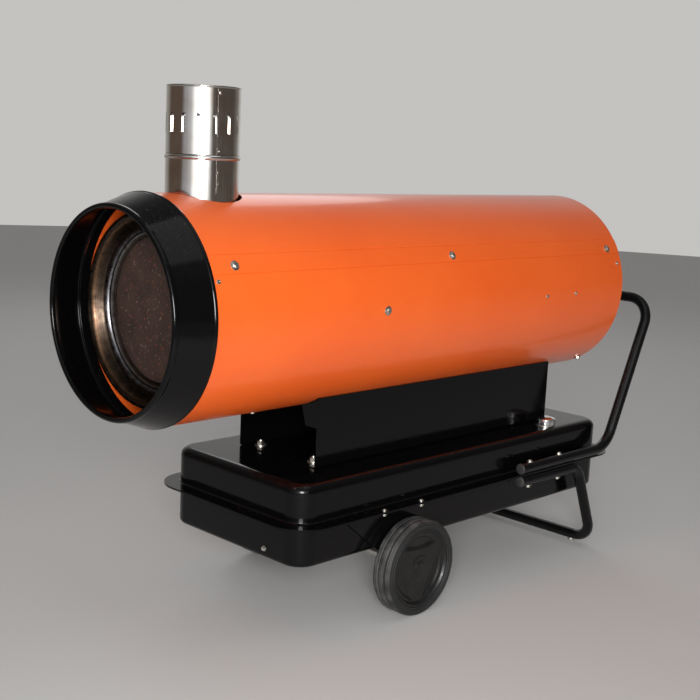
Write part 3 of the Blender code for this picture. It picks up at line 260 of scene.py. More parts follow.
fitted(lower, orange, "heater", "orange_paint", "casing_lower")


# Outlet cone: spun steel in black enamel. Its mouth is rolled outward to a safe lip, and a bead at
# its wide end stops it against the casing, with its skirt screwed inside.

# Black gloss enamel: deep black and smooth, with an orange peel drawn at 6 mm and specks of pale
# dust, drawn at 3 mm, on what faces up.
black, tree, shader, place = finish("black_gloss_enamel", "060607", 0.12, IOR=1.3,
                                    film=(0.05, 5, 0.35, 0.7, 0.09, 0.16), grain=(0.006, 1, 0.00003, 0.5))
facing = node(tree, "ShaderNodeSeparateXYZ", {0: node(tree, "ShaderNodeNewGeometry").outputs["Normal"]})
facing = node(tree, "ShaderNodeMapRange", {0: facing.outputs["Z"], 1: 0.3, 2: 0.95, 3: 0.0, 4: 0.3})
specks = node(tree, "ShaderNodeTexNoise", {"Vector": place, "Scale": 1 / 0.003, "Detail": 2.0})
specks = node(tree, "ShaderNodeMapRange", {0: specks, 1: 0.62, 2: 0.74})
dust = node(tree, "ShaderNodeMath", {0: specks, 1: facing}, operation="MULTIPLY")
dust = node(tree, "ShaderNodeMix", {0: dust, 6: colour("060607"), 7: colour("55524E")}, data_type="RGBA")
wire(shader, {"Base Color": dust})


def facing_rear(x):
    """A place on the barrel's axis whose Z looks to the rear."""
    return Matrix.Translation((x, 0.0, barrel_height)) @ Matrix.Rotation(math.pi / 2, 4, "Y")


def spun(name, outline, place=Matrix(), steps=96, sharp=32):
    """A closed outline of (radius, height) points turned about the Z of its place."""
    shape = bmesh.new()
    rings = []
    for radius, height in outline:
        turns = [2 * math.pi * i / steps for i in range(steps if radius > 1e-6 else 1)]
        rings.append([shape.verts.new((radius * math.cos(t), radius * math.sin(t), height)) for t in turns])
    for low, high in zip(rings, rings[1:] + rings[:1]):
        for i in range(steps):
            corners = [low[i % len(low)], low[(i + 1) % len(low)], high[(i + 1) % len(high)], high[i % len(high)]]
            corners = list(dict.fromkeys(corners))
            if len(corners) > 2:
                shape.faces.new(corners)
    return made(name, shape, place, sharp)


def softened(points, radius, steps=4):
    """A line with each inner corner rounded off."""
    points = [Vector(p) for p in points]
    line = [points[0]]
    for before, corner, after in zip(points, points[1:], points[2:]):
        back, on = before - corner, after - corner
        size = min(radius, back.length * 0.48, on.length * 0.48)
        first, last = corner + back.normalized() * size, corner + on.normalized() * size
        for i in range(steps + 1):
            t = i / steps
            line.append(first * (1 - t) ** 2 + corner * 2 * t * (1 - t) + last * t ** 2)
    return line + [points[-1]]


def spun_sheet(name, line, thickness, place, steps=96):
    """A line of (radius, height) points given a thickness to its left and turned."""
    return spun(name, [Vector(p) for p in line] + offset(line, thickness)[::-1], place, steps)


front_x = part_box("outlet_cone")[0].x
skirt = ((0.1845, 0.0845), (0.1845, 0.0680))
bead = ((0.1868, 0.0677), (0.1880, 0.0668), (0.1884, 0.0650), (0.1880, 0.0636), (0.1868, 0.0622), (0.1862, 0.0600))
wall = ((0.1855, 0.0580), (0.1697, 0.0130))
lip = ((0.1690, 0.0110), (0.1688, 0.0092), (0.1702, 0.0068), (0.1703, 0.0042), (0.1690, 0.0018), (0.1662, 0.0013),
       (0.1642, 0.0024), (0.1634, 0.0056))
line = softened(skirt + bead + wall + lip, 0.0012, 5)
cone = spun_sheet("outlet_cone_spun", line, sheet, facing_rear(front_x), 160)
fitted(cone, black, "heater", "black_paint", "outlet_cone")


# Intake end: a pressed black collar inside the casing's rear, with a guard of hoops and spokes welded
# from 4 mm wire and coated with it.

def geometry_tree(name, **sockets):
    """A Geometry Nodes tree with named inputs. Returns it and its inputs."""
    tree = bpy.data.node_groups.new(name, "GeometryNodeTree")
    for way in ("OUTPUT", "INPUT"):
        tree.interface.new_socket("Geometry", in_out=way, socket_type="NodeSocketGeometry")
    for label, kind in sockets.items():
        tree.interface.new_socket(label, in_out="INPUT", socket_type="NodeSocket" + kind)
    return tree, node(tree, "NodeGroupInput").outputs


def end_tree(tree, given, geometry):
    """Closes a tree with Realize Instances and Set Material."""
    real = node(tree, "GeometryNodeRealizeInstances", {0: geometry})
    real = node(tree, "GeometryNodeSetMaterial", {"Geometry": real, "Material": given["Material"]})
    node(tree, "NodeGroupOutput", {0: real})


def grown(piece, tree, **values):
    """Runs a tree on a piece with these values and keeps the result as its mesh."""
    modifier = piece.modifiers.new(tree.name, "NODES")
    modifier.node_group = tree
    for socket in tree.interface.items_tree:
        if socket.name in values:
            modifier[socket.identifier] = values[socket.name]
    return settled(piece)


def round_the_axis(tree, count, pattern):
    """Sets copies of a pattern evenly round the Z axis."""
    turn = node(tree, "ShaderNodeMath", {0: 2 * math.pi, 1: count}, operation="DIVIDE")
    turn = node(tree, "ShaderNodeMath", {0: node(tree, "GeometryNodeInputIndex"), 1: turn}, operation="MULTIPLY")
    turn = node(tree, "ShaderNodeCombineXYZ", {"Z": turn})
    spots = node(tree, "GeometryNodeMeshLine", {"Count": count, "Offset": (0, 0, 0)})
    one = node(tree, "GeometryNodeObjectInfo", {"Object": pattern}).outputs["Geometry"]
    return node(tree, "GeometryNodeInstanceOnPoints", {"Points": spots, "Instance": one, "Rotation": turn})


hoop_tree, given = geometry_tree("guard_hoops", Hoops="Int", Smallest="Float", Largest="Float", Wire="Float",
                                 Material="Material")
widest = node(hoop_tree, "ShaderNodeMath", {0: given["Largest"], 1: given["Smallest"]}, operation="SUBTRACT")
last = node(hoop_tree, "ShaderNodeMath", {0: given["Hoops"], 1: 1.0}, operation="SUBTRACT")
share = node(hoop_tree, "ShaderNodeMath", {0: node(hoop_tree, "GeometryNodeInputIndex"), 1: last}, operation="DIVIDE")
size = node(hoop_tree, "ShaderNodeMath", {0: share, 1: widest, 2: given["Smallest"]}, operation="MULTIPLY_ADD")
spots = node(hoop_tree, "GeometryNodeMeshLine", {"Count": given["Hoops"], "Offset": (0, 0, 0)})
hoops = node(hoop_tree, "GeometryNodeCurvePrimitiveCircle", {"Resolution": 96, "Radius": 1.0})
hoops = node(hoop_tree, "GeometryNodeInstanceOnPoints", {"Points": spots, "Instance": hoops, "Scale": size})
hoops = node(hoop_tree, "GeometryNodeRealizeInstances", {0: hoops})
steel = node(hoop_tree, "GeometryNodeCurvePrimitiveCircle", {"Resolution": 10, "Radius": given["Wire"]})
hoops = node(hoop_tree, "GeometryNodeCurveToMesh", {"Curve": hoops, "Profile Curve": steel})
end_tree(hoop_tree, given, hoops)

ring_tree, given = geometry_tree("pieces_in_a_ring", Piece="Object", Count="Int", Material="Material")
end_tree(ring_tree, given, round_the_axis(ring_tree, given["Count"], given["Piece"]))


def ring_of(name, piece, count, material, place=Matrix()):
    """Copies a piece round the Z of its place and removes the pattern."""
    ring = made(name, bmesh.new())
    grown(ring, ring_tree, Piece=piece, Count=count, Material=material)
    bpy.data.objects.remove(piece)
    ring.data.transform(place)
    return ring


def welded(name, *pieces):
    """Puts pieces of one finish together as one piece."""
    shape = bmesh.new()
    for piece in pieces:
        shape.from_mesh(piece.data)
        bpy.data.objects.remove(piece)
    return made(name, shape)


collar_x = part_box("rear_collar")[1].x
line = softened(((0.1845, -0.0215), (0.1845, -0.0032), (0.1812, -0.0001), (0.1702, -0.0001), (0.1685, -0.0016),
                 (0.1685, -0.0050)), 0.0016, 5)
collar = spun_sheet("rear_collar_pressed", line, sheet, facing_rear(collar_x), 160)
fitted(collar, black, "heater", "black_paint", "rear_collar")

guard_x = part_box("intake_guard")[0].x
wire_radius, spoke_radius, spoke_length, spoke_middle = 0.0021, 0.0015, 0.158, 0.0965
hoops = grown(made("guard_hoops", bmesh.new()), hoop_tree, Hoops=9, Smallest=0.038, Largest=0.1755,
              Wire=wire_radius, Material=black)
hoops.data.transform(facing_rear(guard_x + wire_radius))
spoke = rod("guard_spoke", spoke_radius, spoke_length,
            Matrix.Translation((spoke_middle, 0.0, 0.0)) @ Matrix.Rotation(math.pi / 2, 4, "Y"), 12)
spokes = ring_of("guard_spokes", spoke, 5, black,
                 facing_rear(guard_x + 0.0032) @ Matrix.Rotation(math.radians(112), 4, "Z"))
outline = softened(((0.0, 0.0), (0.026, 0.0), (0.026, 0.0030), (0.020, 0.0044), (0.0, 0.0047)), 0.001)
boss = spun("guard_boss", outline, facing_rear(guard_x + 0.0001), 64)
fitted(welded("intake_guard_welded", hoops, spokes, boss), black, "heater", "black_paint", "intake_guard")


# Combustion drum: stainless shell with a dished front, pressed in steps so that it can swell with
# heat, and a thick scale-covered baffle plate behind its opening.

# Drum front: stainless that the fire has coloured in rings, brown at the rim and blue in the groove,
# with fine spinning marks 1.5 mm apart and soot in spots of 9 mm.
tinted, tree, shader, place = finish("heat_tinted_stainless", "6E6258", 0.3, 1.0,
                                     film=(0.012, 5, 0.3, 0.7, 0.22, 0.42))
reach = node(tree, "ShaderNodeMapping",
             {"Vector": place, "Location": (0.0, 0.0, -barrel_height), "Scale": (0.0, 1.0, 1.0)})
reach = node(tree, "ShaderNodeVectorMath", {0: reach}, operation="LENGTH")
waver = node(tree, "ShaderNodeTexNoise", {"Vector": place, "Scale": 1 / 0.03, "Detail": 4.0})
waver = node(tree, "ShaderNodeMath", {0: waver, 1: 0.004, 2: reach}, operation="MULTIPLY_ADD")
rings = node(tree, "ShaderNodeMapRange", {0: waver, 1: 0.120, 2: 0.166})
rings = node(tree, "ShaderNodeValToRGB", {"Fac": rings}, (
    (0.00, "4E4742"), (0.09, "544C46"), (0.15, "A09A96"), (0.20, "2A2728"), (0.27, "A6A6AC"), (0.33, "3A322B"),
    (0.48, "4A3D33"), (0.57, "7A5C46"), (0.62, "5C4B3D"), (0.72, "77675A"), (0.82, "6E5F50"), (0.90, "B5ACA2"),
    (1.0, "8A8278")))
marks = node(tree, "ShaderNodeTexNoise", {"W": reach, "Scale": 1 / 0.0015, "Detail": 2.0}, noise_dimensions="1D")
marks = node(tree, "ShaderNodeMapRange", {0: marks, 1: 0.38, 2: 0.6, 3: 0.0, 4: 0.55})
soot = node(tree, "ShaderNodeTexNoise", {"Vector": place, "Scale": 1 / 0.009, "Detail": 6.0})
soot = node(tree, "ShaderNodeMapRange", {0: soot, 1: 0.45, 2: 0.75, 3: 0.0, 4: 0.45})
soot = node(tree, "ShaderNodeMath", {0: soot, 1: marks}, operation="ADD", use_clamp=True)
rings = node(tree, "ShaderNodeMix", {0: soot, 6: rings, 7: colour("2E2621")}, data_type="RGBA")
dents = node(tree, "ShaderNodeBump", {"Height": marks, "Distance": 0.00006})
wire(shader, {"Base Color": rings, "Normal": dents})

# Baffle: mild steel under a smooth dry brown scale, with pale flecks and rust spots of 2 to 5 mm.
scale, tree, shader, place = finish("scorched_scale", "3E302A", 0.72, 0.1, grain=(0.003, 5, 0.0002))
brown = node(tree, "ShaderNodeTexNoise", {"Vector": place, "Scale": 1 / 0.03, "Detail": 6.0})
brown = node(tree, "ShaderNodeValToRGB", {"Fac": brown}, ((0.3, "2D1F19"), (0.5, "36251F"), (0.7, "3D2B23")))
rust = node(tree, "ShaderNodeTexNoise", {"Vector": place, "Scale": 1 / 0.0045, "Detail": 2.0})
rust = node(tree, "ShaderNodeMapRange", {0: rust, 1: 0.64, 2: 0.74, 3: 0.0, 4: 0.8})
brown = node(tree, "ShaderNodeMix", {0: rust, 6: brown, 7: colour("7E3B22")}, data_type="RGBA")
flecks = node(tree, "ShaderNodeTexNoise", {"Vector": place, "Scale": 1 / 0.005, "Detail": 1.0})
flecks = node(tree, "ShaderNodeMapRange", {0: flecks, 1: 0.68, 2: 0.74, 3: 0.0, 4: 0.45})
brown = node(tree, "ShaderNodeMix", {0: flecks, 6: brown, 7: colour("8C7A6C")}, data_type="RGBA")
wire(shader, {"Base Color": brown})

line = softened(((0.158, 0.1140), (0.158, 0.0690), (0.1565, 0.0662), (0.1530, 0.0650), (0.1470, 0.0670),
                 (0.1445, 0.0692), (0.1350, 0.0830), (0.1335, 0.0875), (0.1310, 0.0920), (0.1275, 0.0915),
                 (0.1225, 0.0945), (0.1185, 0.0965)), 0.0015, 4)
drum_front = spun_sheet("drum_front_dished", line, sheet, facing_rear(front_x), 160)
fitted(drum_front, tinted, "heater", "stainless_steel", "drum_front")
outline = [(0.0, 0.1010), (0.1225, 0.1010), (0.1225, 0.0981), (0.1150, 0.0981), (0.1125, 0.0972),
           (0.1080, 0.0968), (0.0610, 0.0958), (0.0, 0.0955)]
baffle = spun("drum_baffle_plate", outline, facing_rear(front_x), 128)
fitted(baffle, scale, "heater", "scorched_steel", "drum_baffle")


def kept(material, *names):
    """Gives solids that stay as they are their material."""
    for name in names:
        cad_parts[name].material_slots[0].material = material


kept(tinted, "drum_shell", "drum_saddle_front", "drum_saddle_rear", "burner_tube")
kept(scale, "swirl_disc")


# Flue: a 120 mm stainless pipe. The spigot is welded to the drum and has a rolled bead, and the
# slotted sleeve stands on it. Both are lapped along their length, and held by a rivet and spot welds.

# Stainless sheet: nearly a mirror, with fine streaks along the rolling, 1.5 mm wide and 60 mm long,
# and a faint straw tint in clouds of 40 mm.
stainless, tree, shader, place = finish("bright_stainless", "DCDAD6", 0.13, 1.0,
                                        clouds=(0.04, 4, ((0.4, "E4E2DE"), (0.75, "D2C9BE"))))
streaks = node(tree, "ShaderNodeMapping", {"Vector": place, "Scale": (1 / 0.0015, 1 / 0.0015, 1 / 0.06)})
streaks = node(tree, "ShaderNodeTexNoise", {"Vector": streaks, "Scale": 1.0, "Detail": 3.0})
film = node(tree, "ShaderNodeMapRange", {0: streaks, 1: 0.3, 2: 0.75, 3: 0.09, 4: 0.18})
drawn = node(tree, "ShaderNodeBump", {"Height": streaks, "Distance": 0.000006})
wire(shader, {"Roughness": film, "Normal": drawn})

cut_tree, given = geometry_tree("cuts_in_a_ring", Cutter="Object", Count="Int", Material="Material")
ring = round_the_axis(cut_tree, given["Count"], given["Cutter"])
ring = node(cut_tree, "GeometryNodeRealizeInstances", {0: ring})
cut = node(cut_tree, "GeometryNodeMeshBoolean", {"Mesh 1": given["Geometry"], "Mesh 2": ring}, operation="DIFFERENCE")
end_tree(cut_tree, given, cut)

flue_radius, flue_sheet, lap_sheet = 0.0600, 0.0010, 0.0009


def box(name, low, high, bevel=0.0, place=Matrix()):
    """A block with rounded edges."""
    shape = bmesh.new()
    bmesh.ops.create_cube(shape, size=1.0)
    for vert in shape.verts:
        vert.co = Vector(((low[i] + high[i]) / 2 + vert.co[i] * (high[i] - low[i]) for i in range(3)))
    if bevel:
        bmesh.ops.bevel(shape, geom=shape.edges, offset=bevel, segments=2, affect="EDGES", profile=0.5)
    return made(name, shape, place)


def dome(name, radius, height, place):
    """A rivet's or weld's low round head."""
    outline = [(radius * math.cos(t), height * math.sin(t)) for t in (i * math.pi / 12 for i in range(6))]
    return spun(name, [(0.0, -0.0003), (radius, -0.0003)] + outline + [(0.0, height)], place, 20)


def on_flue(angle, z):
    """A place on the flue's surface whose Z looks outward."""
    return (Matrix.Translation((flue_x, 0.0, z)) @ Matrix.Rotation(math.radians(angle), 4, "Z")
            @ Matrix.Translation((flue_radius, 0.0, 0.0)) @ Matrix.Rotation(math.pi / 2, 4, "Y"))


def flue_lap(name, low, high):
    """The lapped edge of the sheet, a thin strip that thickens to a cut edge."""
    line = [(radius * math.sin(math.radians(angle)), -radius * math.cos(math.radians(angle))) for radius, angle in
            ((0.06003, 254), (0.0601, 257), (0.0605, 261.6), (0.0605, 262))]
    return folded_sheet(name, line, low, high, lap_sheet, 1,
                        Matrix.Translation((flue_x, 0.0, 0.0)) @ Matrix.Rotation(-math.pi / 2, 4, "Y"))


spigot_top, drum_radius = 0.8640, 0.1570
line = [(flue_radius, 0.690), (flue_radius, 0.7960), (flue_radius, 0.7984), (0.0610, 0.7988), (0.0617, 0.8003),
        (0.0617, 0.8022), (0.0608, 0.8040), (flue_radius, 0.8050), (0.0586, 0.8054), (0.0580, 0.8075),
        (0.0580, 0.8100), (0.0580, spigot_top)]
spigot = spun_sheet("flue_spigot_pipe", softened(line, 0.0010, 3), flue_sheet, Matrix.Translation((flue_x, 0, 0)),
                    128)
pierced(spigot, rod("drum_space", drum_radius, 0.2, facing_rear(flue_x), 192))

sleeve_low, sleeve_high = (corner.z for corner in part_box("flue_sleeve"))
line = softened(((flue_radius, sleeve_low), (flue_radius, sleeve_high - 0.0060),
                 (flue_radius, sleeve_high - 0.0035), (0.0606, sleeve_high - 0.0016), (flue_radius, sleeve_high),
                 (0.0588, sleeve_high - 0.0004)), 0.0005, 3)
sleeve = spun_sheet("flue_sleeve_slotted", line, flue_sheet, Matrix(), 180)
slots, first_slot = 15, 0.39 * 24
slot_cutter = box("slot_cutter", (0.0580, -0.003, 0.8395), (0.070, 0.003, 0.8695))
slot_cutter.data.transform(Matrix.Rotation(math.radians(first_slot), 4, "Z"))
grown(sleeve, cut_tree, Cutter=slot_cutter, Count=slots, Material=stainless)
bpy.data.objects.remove(slot_cutter)
sleeve.data.transform(Matrix.Translation((flue_x, 0, 0)))
spigot = welded("flue_spigot_lapped", spigot, flue_lap("spigot_lap", 0.7460, 0.7970),
                dome("spot_weld", 0.0013, 0.0010, on_flue(256.5, 0.7790)),
                dome("spot_weld", 0.0013, 0.0010, on_flue(257.5, 0.7610)))
sleeve = welded("flue_sleeve_lapped", sleeve, flue_lap("sleeve_lap", sleeve_low + 0.0006, sleeve_high - 0.0040),
                dome("flue_rivet", 0.0030, 0.0019, on_flue(257.2, 0.9020)),
                dome("spot_weld", 0.0013, 0.0010, on_flue(257.2, 0.8120)))
fitted(spigot, stainless, "heater", "stainless_steel", "flue_spigot")
fitted(sleeve, stainless, "heater", "stainless_steel", "flue_sleeve")


# Drive: a cast motor on a four-armed plate turns the five-bladed fan behind it. Through a rubber
# coupling it also turns the fuel pump in front, which feeds the nozzle.

# Cast aluminium: pale grey and even, dulled in clouds of 20 mm, with the 1.2 mm sand of the die.
cast, *_ = finish("die_cast_aluminium", "9A9C9E", 0.5, 0.85,
                  clouds=(0.02, 5, ((0.4, "9FA1A3"), (0.8, "7C7A77"))), grain=(0.0012, 4, 0.00008))

# Zinc plate: silver with a faint yellow and blue bloom in spots of 6 mm, slightly rough.
zinc, *_ = finish("zinc_plated_steel", "C4C3BE", 0.3, 1.0, film=(0.002, 4, 0.3, 0.75, 0.26, 0.42),
                  clouds=(0.006, 4, ((0.3, "DADAD8"), (0.55, "D0CDC0"), (0.8, "C0C6CC"))))

# Black rubber: dark grey and dull, with dust in clouds of 14 mm and a fine pebble drawn at 1 mm.
rubber, *_ = finish("black_rubber", "262626", 0.7, clouds=(0.014, 6, ((0.42, "232323"), (0.8, "393735"))),
                    grain=(0.001, 3, 0.00006))

# Moulded nylon: dark grey, with worn shiny patches of 10 mm and a spark-eroded grain drawn at 1 mm.
nylon, *_ = finish("moulded_nylon", "161616", 0.4, clouds=(0.025, 5, ((0.45, "101010"), (0.8, "1C1B1A"))),
                   film=(0.01, 4, 0.3, 0.75, 0.32, 0.5), grain=(0.001, 2, 0.00003), IOR=1.45)

# Copper pipe: drawn tube gone brown, with brighter patches of 10 mm.
copper, *_ = finish("drawn_copper", "A8623F", 0.3, 1.0, clouds=(0.01, 5, ((0.3, "7C4730"), (0.7, "B9704A"))))

# Glazed ceramic: off-white and shiny, yellowed by heat in spots of 4 mm.
ceramic, *_ = finish("glazed_ceramic", "DAD5C8", 0.2, clouds=(0.004, 5, ((0.3, "E0DCD0"), (0.8, "BEB6A4"))))

kept(cast, "burner_plate", "nozzle_holder", "fuel_pump", "fuel_filter")
kept(black, "motor_mount")
kept(zinc, "motor_shaft", "tank_pickup")
kept(rubber, "pump_coupling")
kept(copper, "nozzle_line", "suction_line")
kept(nylon, "ignition_transformer", "control_box")
kept(ceramic, "electrode_left", "electrode_right")

motor_low, motor_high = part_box("fan_motor")
motor_x = motor_low.x
length = motor_high.x - motor_x
shaft_hole, nose, waist, bell = 0.0073, 0.018, 0.0400, 0.0445
outline = [(shaft_hole, 0.0), (nose, 0.0), (nose, 0.009), (waist, 0.0103), (bell, 0.0140), (bell, 0.030),
           (waist, 0.031), (waist, length - 0.031), (bell, length - 0.030), (bell, length - 0.0140),
           (waist, length - 0.0103), (nose, length - 0.009), (nose, length), (shaft_hole, length)]
can = spun("motor_can", softened(outline, 0.0012, 2), facing_rear(motor_x), 72)
fin = box("motor_fin", (0.039, -0.0009, 0.0305), (0.0455, 0.0009, length - 0.0305), 0.0004)
fins = ring_of("motor_fins", fin, 36, cast, facing_rear(motor_x))
fitted(welded("fan_motor_finned", can, fins), cast, "heater", "cast_alloy", "fan_motor")

# Each blade widens and flattens from its root, which is sunk in the hub, to its tip. It is bowed
# across its width, and its corners are round.
fan_x = 0.4343
hub_radius, fan_radius, root = 0.034, 0.1636, 0.002
root_chord, tip_chord, root_pitch, tip_pitch = 0.040, 0.090, math.radians(40), math.radians(24)
blade_bow, blade_sheet = 0.004, 0.002
blade = bmesh.new()
rows = []
for i in range(15):
    share = i / 14
    radius = hub_radius - root + (fan_radius - hub_radius + root) * share
    chord = root_chord + (tip_chord - root_chord) * share
    pitch = root_pitch + (tip_pitch - root_pitch) * share
    rows.append([])
    for j in range(11):
        bow = blade_bow * (1 - (2 * j / 10 - 1) ** 2)
        along = (j / 10 - 0.5) * chord
        corner = 1 - 0.06 * share ** 6 * (2 * j / 10 - 1) ** 4
        turn = along * math.cos(pitch) / radius
        rows[-1].append(blade.verts.new((radius * corner * math.cos(turn), radius * corner * math.sin(turn),
                                         along * math.sin(pitch) + bow - blade_sheet)))
for low, high in zip(rows, rows[1:]):
    for j in range(10):
        blade.faces.new((low[j], high[j], high[j + 1], low[j + 1]))
blade = made("fan_blade", blade)
thick = blade.modifiers.new("sheet", "SOLIDIFY")
thick.thickness = blade_sheet
thick.offset = 0.0
settled(blade)
blades = ring_of("fan_blades", blade, 5, cast, facing_rear(fan_x))
outline = softened(((shaft_hole, 0.0150), (0.0140, 0.0150), (0.0150, 0.0060), (0.0310, 0.0050), (hub_radius, 0.0030),
                    (hub_radius, -0.0150), (0.0310, -0.0150), (0.0300, 0.0010), (0.0160, 0.0010), (0.0150, -0.0150),
                    (shaft_hole, -0.0150)), 0.0012, 3)
hub = spun("fan_hub", outline, facing_rear(fan_x), 96)
fitted(welded("fan_rotor_cast", hub, blades), cast, "fan", "cast_alloy", "fan_rotor")


# Pedestal: a channel folded from 1.5 mm sheet in black enamel, bolted to the tank. Its edges carry
# the barrel, and two short tabs turn in at its open front.

kept(black, "pedestal_channel")

# Fasteners: one pattern of each kind, set on seats with a direction.
seat_tree, given = geometry_tree("fasteners_on_seats", Fastener="Object", Material="Material")
aim = node(seat_tree, "GeometryNodeInputNamedAttribute", {"Name": "aim"}, data_type="FLOAT_VECTOR").outputs[0]
turn = node(seat_tree, "FunctionNodeAlignRotationToVector", {"Vector": aim}, axis="Z")
one = node(seat_tree, "GeometryNodeObjectInfo", {"Object": given["Fastener"]}).outputs["Geometry"]
row = {"Points": given["Geometry"], "Instance": one, "Rotation": turn}
row = node(seat_tree, "GeometryNodeInstanceOnPoints", row)
end_tree(seat_tree, given, row)


def seated(name, fastener, material, seats):
    """Sets a fastener on (place, direction) seats and removes the pattern."""
    mesh = bpy.data.meshes.new(name)
    mesh.from_pydata([place for place, _ in seats], [], [])
    aims = mesh.attributes.new("aim", "FLOAT_VECTOR", "POINT")
    for value, (_, direction) in zip(aims.data, seats):
        value.vector = direction
    piece = grown(placed(name, mesh), seat_tree, Fastener=fastener, Material=material)
    bpy.data.objects.remove(fastener)
    return piece


def hexagon(across, low, high, chamfer=0.0006):
    """A hexagon head as a six-sided spun outline, chamfered on top."""
    radius = across / math.sqrt(3)
    outline = ((0.0, low), (radius, low), (radius, high - chamfer), (radius - chamfer, high), (0.0, high))
    return spun("hexagon", outline, steps=6, sharp=20)


def disc(radius, low, high, edge):
    """The outline of a plain round bar or disc with softened edges."""
    return softened(((0.0, low), (radius, low), (radius, high), (0.0, high)), edge, 2)


def washer(radius, thickness):
    """A flat washer, sunk a little into what it lies on."""
    return spun("washer", disc(radius, -0.0002, thickness, 0.0003), steps=32)


def hex_bolt(across, height):
    """A hexagon head on its washer."""
    return welded("hex_bolt", washer(across * 0.95, 0.0012), hexagon(across, 0.0012, height))


def stud_nut(across, washer_radius, height):
    """A nut on the end of a stud, with a wide washer."""
    end = spun("stud_end", disc(across * 0.3, 0.0, height, 0.0008), steps=24)
    return welded("stud_nut", washer(washer_radius, 0.0020), hexagon(across, 0.0020, height - 0.0028, 0.0009), end)


def pan_screw(radius, height):
    """A domed head with a cross recess."""
    head = spun("pan_head", [(0.0, -0.001), (radius, -0.001), (radius, height * 0.35), (radius * 0.9, height * 0.7),
                             (radius * 0.6, height * 0.93), (0.0, height)], steps=24)
    cross = [box("recess", (-radius * 0.55, -radius * 0.1, height * 0.4), (radius * 0.55, radius * 0.1, height * 1.4),
                 place=Matrix.Rotation(turn, 4, "Z")) for turn in (0.3, 0.3 + math.pi / 2)]
    return pierced(head, *cross)


def on_casing(along, angle, side):
    """A seat on the casing, along from its front, at an angle in degrees above the middle."""
    turn = math.radians(angle)
    way = Vector((0.0, side * math.cos(turn), math.sin(turn)))
    return Vector((front_x + along, 0.0, barrel_height)) + way * (casing_radius + 0.0004), way


big = [on_casing(along, angle, side) for side in (-1, 1) for along, angle in
       ((0.114, 27.8), (0.622, 27.5), (1.128, 27.0), (0.436, 0.2), (1.158, -59.0))]
small = [on_casing(along, angle, side) for side in (-1, 1) for along, angle in
         ((0.076, 20.5), (1.154, 17.0), (0.898, -0.2), (0.996, 0.0), (0.258, -74.0))]
fitted(welded("casing_fasteners", seated("casing_screws", hex_bolt(0.0085, 0.0044), zinc, big),
              seated("casing_rivets", pan_screw(0.0038, 0.0019), zinc, small)), zinc, "heater", "zinc_plate")

floor_z = 0.2744
seats = [((front_x + along, y, floor_z), (0, 0, 1)) for along in (0.387, 1.020) for y in (-0.0715, 0.0715)]
fitted(seated("pedestal_bolts", stud_nut(0.013, 0.0110, 0.0115), zinc, seats), zinc, "heater", "zinc_plate")


# Control panel: a plate across the pedestal's rear, with a selector knob, a reset button in a bezel,
# a socket with a sprung flap for the thermostat, and the gland for the cord.

# Red button: glossy moulded plastic, scuffed in spots of 3 mm.
red, *_ = finish("red_button_plastic", "B01812", 0.32, film=(0.003, 5, 0.3, 0.75, 0.25, 0.42))

kept(nylon, "control_panel", "thermostat_socket", "cable_gland", "selector_knob")
kept(red, "reset_button")
kept(rubber, "socket_flap")


# Fuel tank: two deep-drawn trays in black enamel, seam-welded round their flanges. The filler stands
# near the rear corner, and a drain plug with its washer is in the front.

tank_low, tank_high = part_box("tank_upper")
flange, flange_rise, tray_sheet = 0.030, 0.0015, 0.0014
tank_x = (tank_low.x + tank_high.x) / 2
tank_half_length = (tank_high.x - tank_low.x) / 2 - flange
tank_half_width = 0.175
tank_corner = 0.040


def tray(name, flat_z, rim_z, fillet):
    """A drawn tray lofted from its flat face to the edge of its flange, with the sheet inside."""
    up = 1.0 if flat_z > rim_z else -1.0
    bend, seat = 0.003, rim_z + up * flange_rise
    turns = [math.pi / 2 * i / 8 for i in range(9)]
    rows = [(-fillet - 0.004, flat_z)]
    rows += [(fillet * (math.sin(t) - 1), flat_z - up * fillet * (1 - math.cos(t))) for t in turns]
    rows += [(0.0, flat_z - up * (fillet + 0.004)), (0.0, rim_z + up * (0.0055 + bend))]
    rows += [(bend * (1 - math.cos(t)), rim_z + up * (flange_rise + bend * (1 - math.sin(t)))) for t in turns]
    rows += [(bend + 0.003, seat), (flange - 0.002, seat), (flange, seat)]
    shape = bmesh.new()
    loops = []
    for grow, z in rows:
        half_x, half_y, corner = tank_half_length + grow, tank_half_width + grow, tank_corner + grow
        loop = []
        for quarter, (sx, sy) in enumerate(((1, 1), (-1, 1), (-1, -1), (1, -1))):
            loop += around(corner, quarter * math.pi / 2, (quarter + 1) * math.pi / 2, 18,
                           (sx * (half_x - corner), sy * (half_y - corner)))
        loops.append([shape.verts.new((tank_x + x, y, z)) for x, y in loop])
    count = len(loops[0])
    for first, second in zip(loops, loops[1:]):
        for i in range(count):
            shape.faces.new((first[i], second[i], second[(i + 1) % count], first[(i + 1) % count]))
    shape.faces.new(loops[0])
    piece = made(name, shape)
    # The loft is open, so its normals may look either way: they're turned to look outward.
    flat = max(piece.data.polygons, key=lambda face: face.area)
    if flat.normal.z * up < 0:
        piece.data.flip_normals()
    thick = piece.modifiers.new("sheet", "SOLIDIFY")
    thick.thickness = tray_sheet
    thick.offset = -1.0
    return settled(piece)


upper_tray = tray("tank_upper_tray", tank_high.z, tank_low.z, 0.016)
lower_tray = tray("tank_lower_tray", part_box("tank_lower")[0].z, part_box("tank_lower")[1].z, 0.009)
filler_x, filler_y, filler_hole = 0.352, -0.138, 0.0164
pierced(upper_tray, rod("filler_hole", filler_hole, 0.05, Matrix.Translation((filler_x, filler_y, 0.275)), 48))
fitted(upper_tray, black, "heater", "black_paint", "tank_upper")
fitted(lower_tray, black, "heater", "black_paint", "tank_lower")

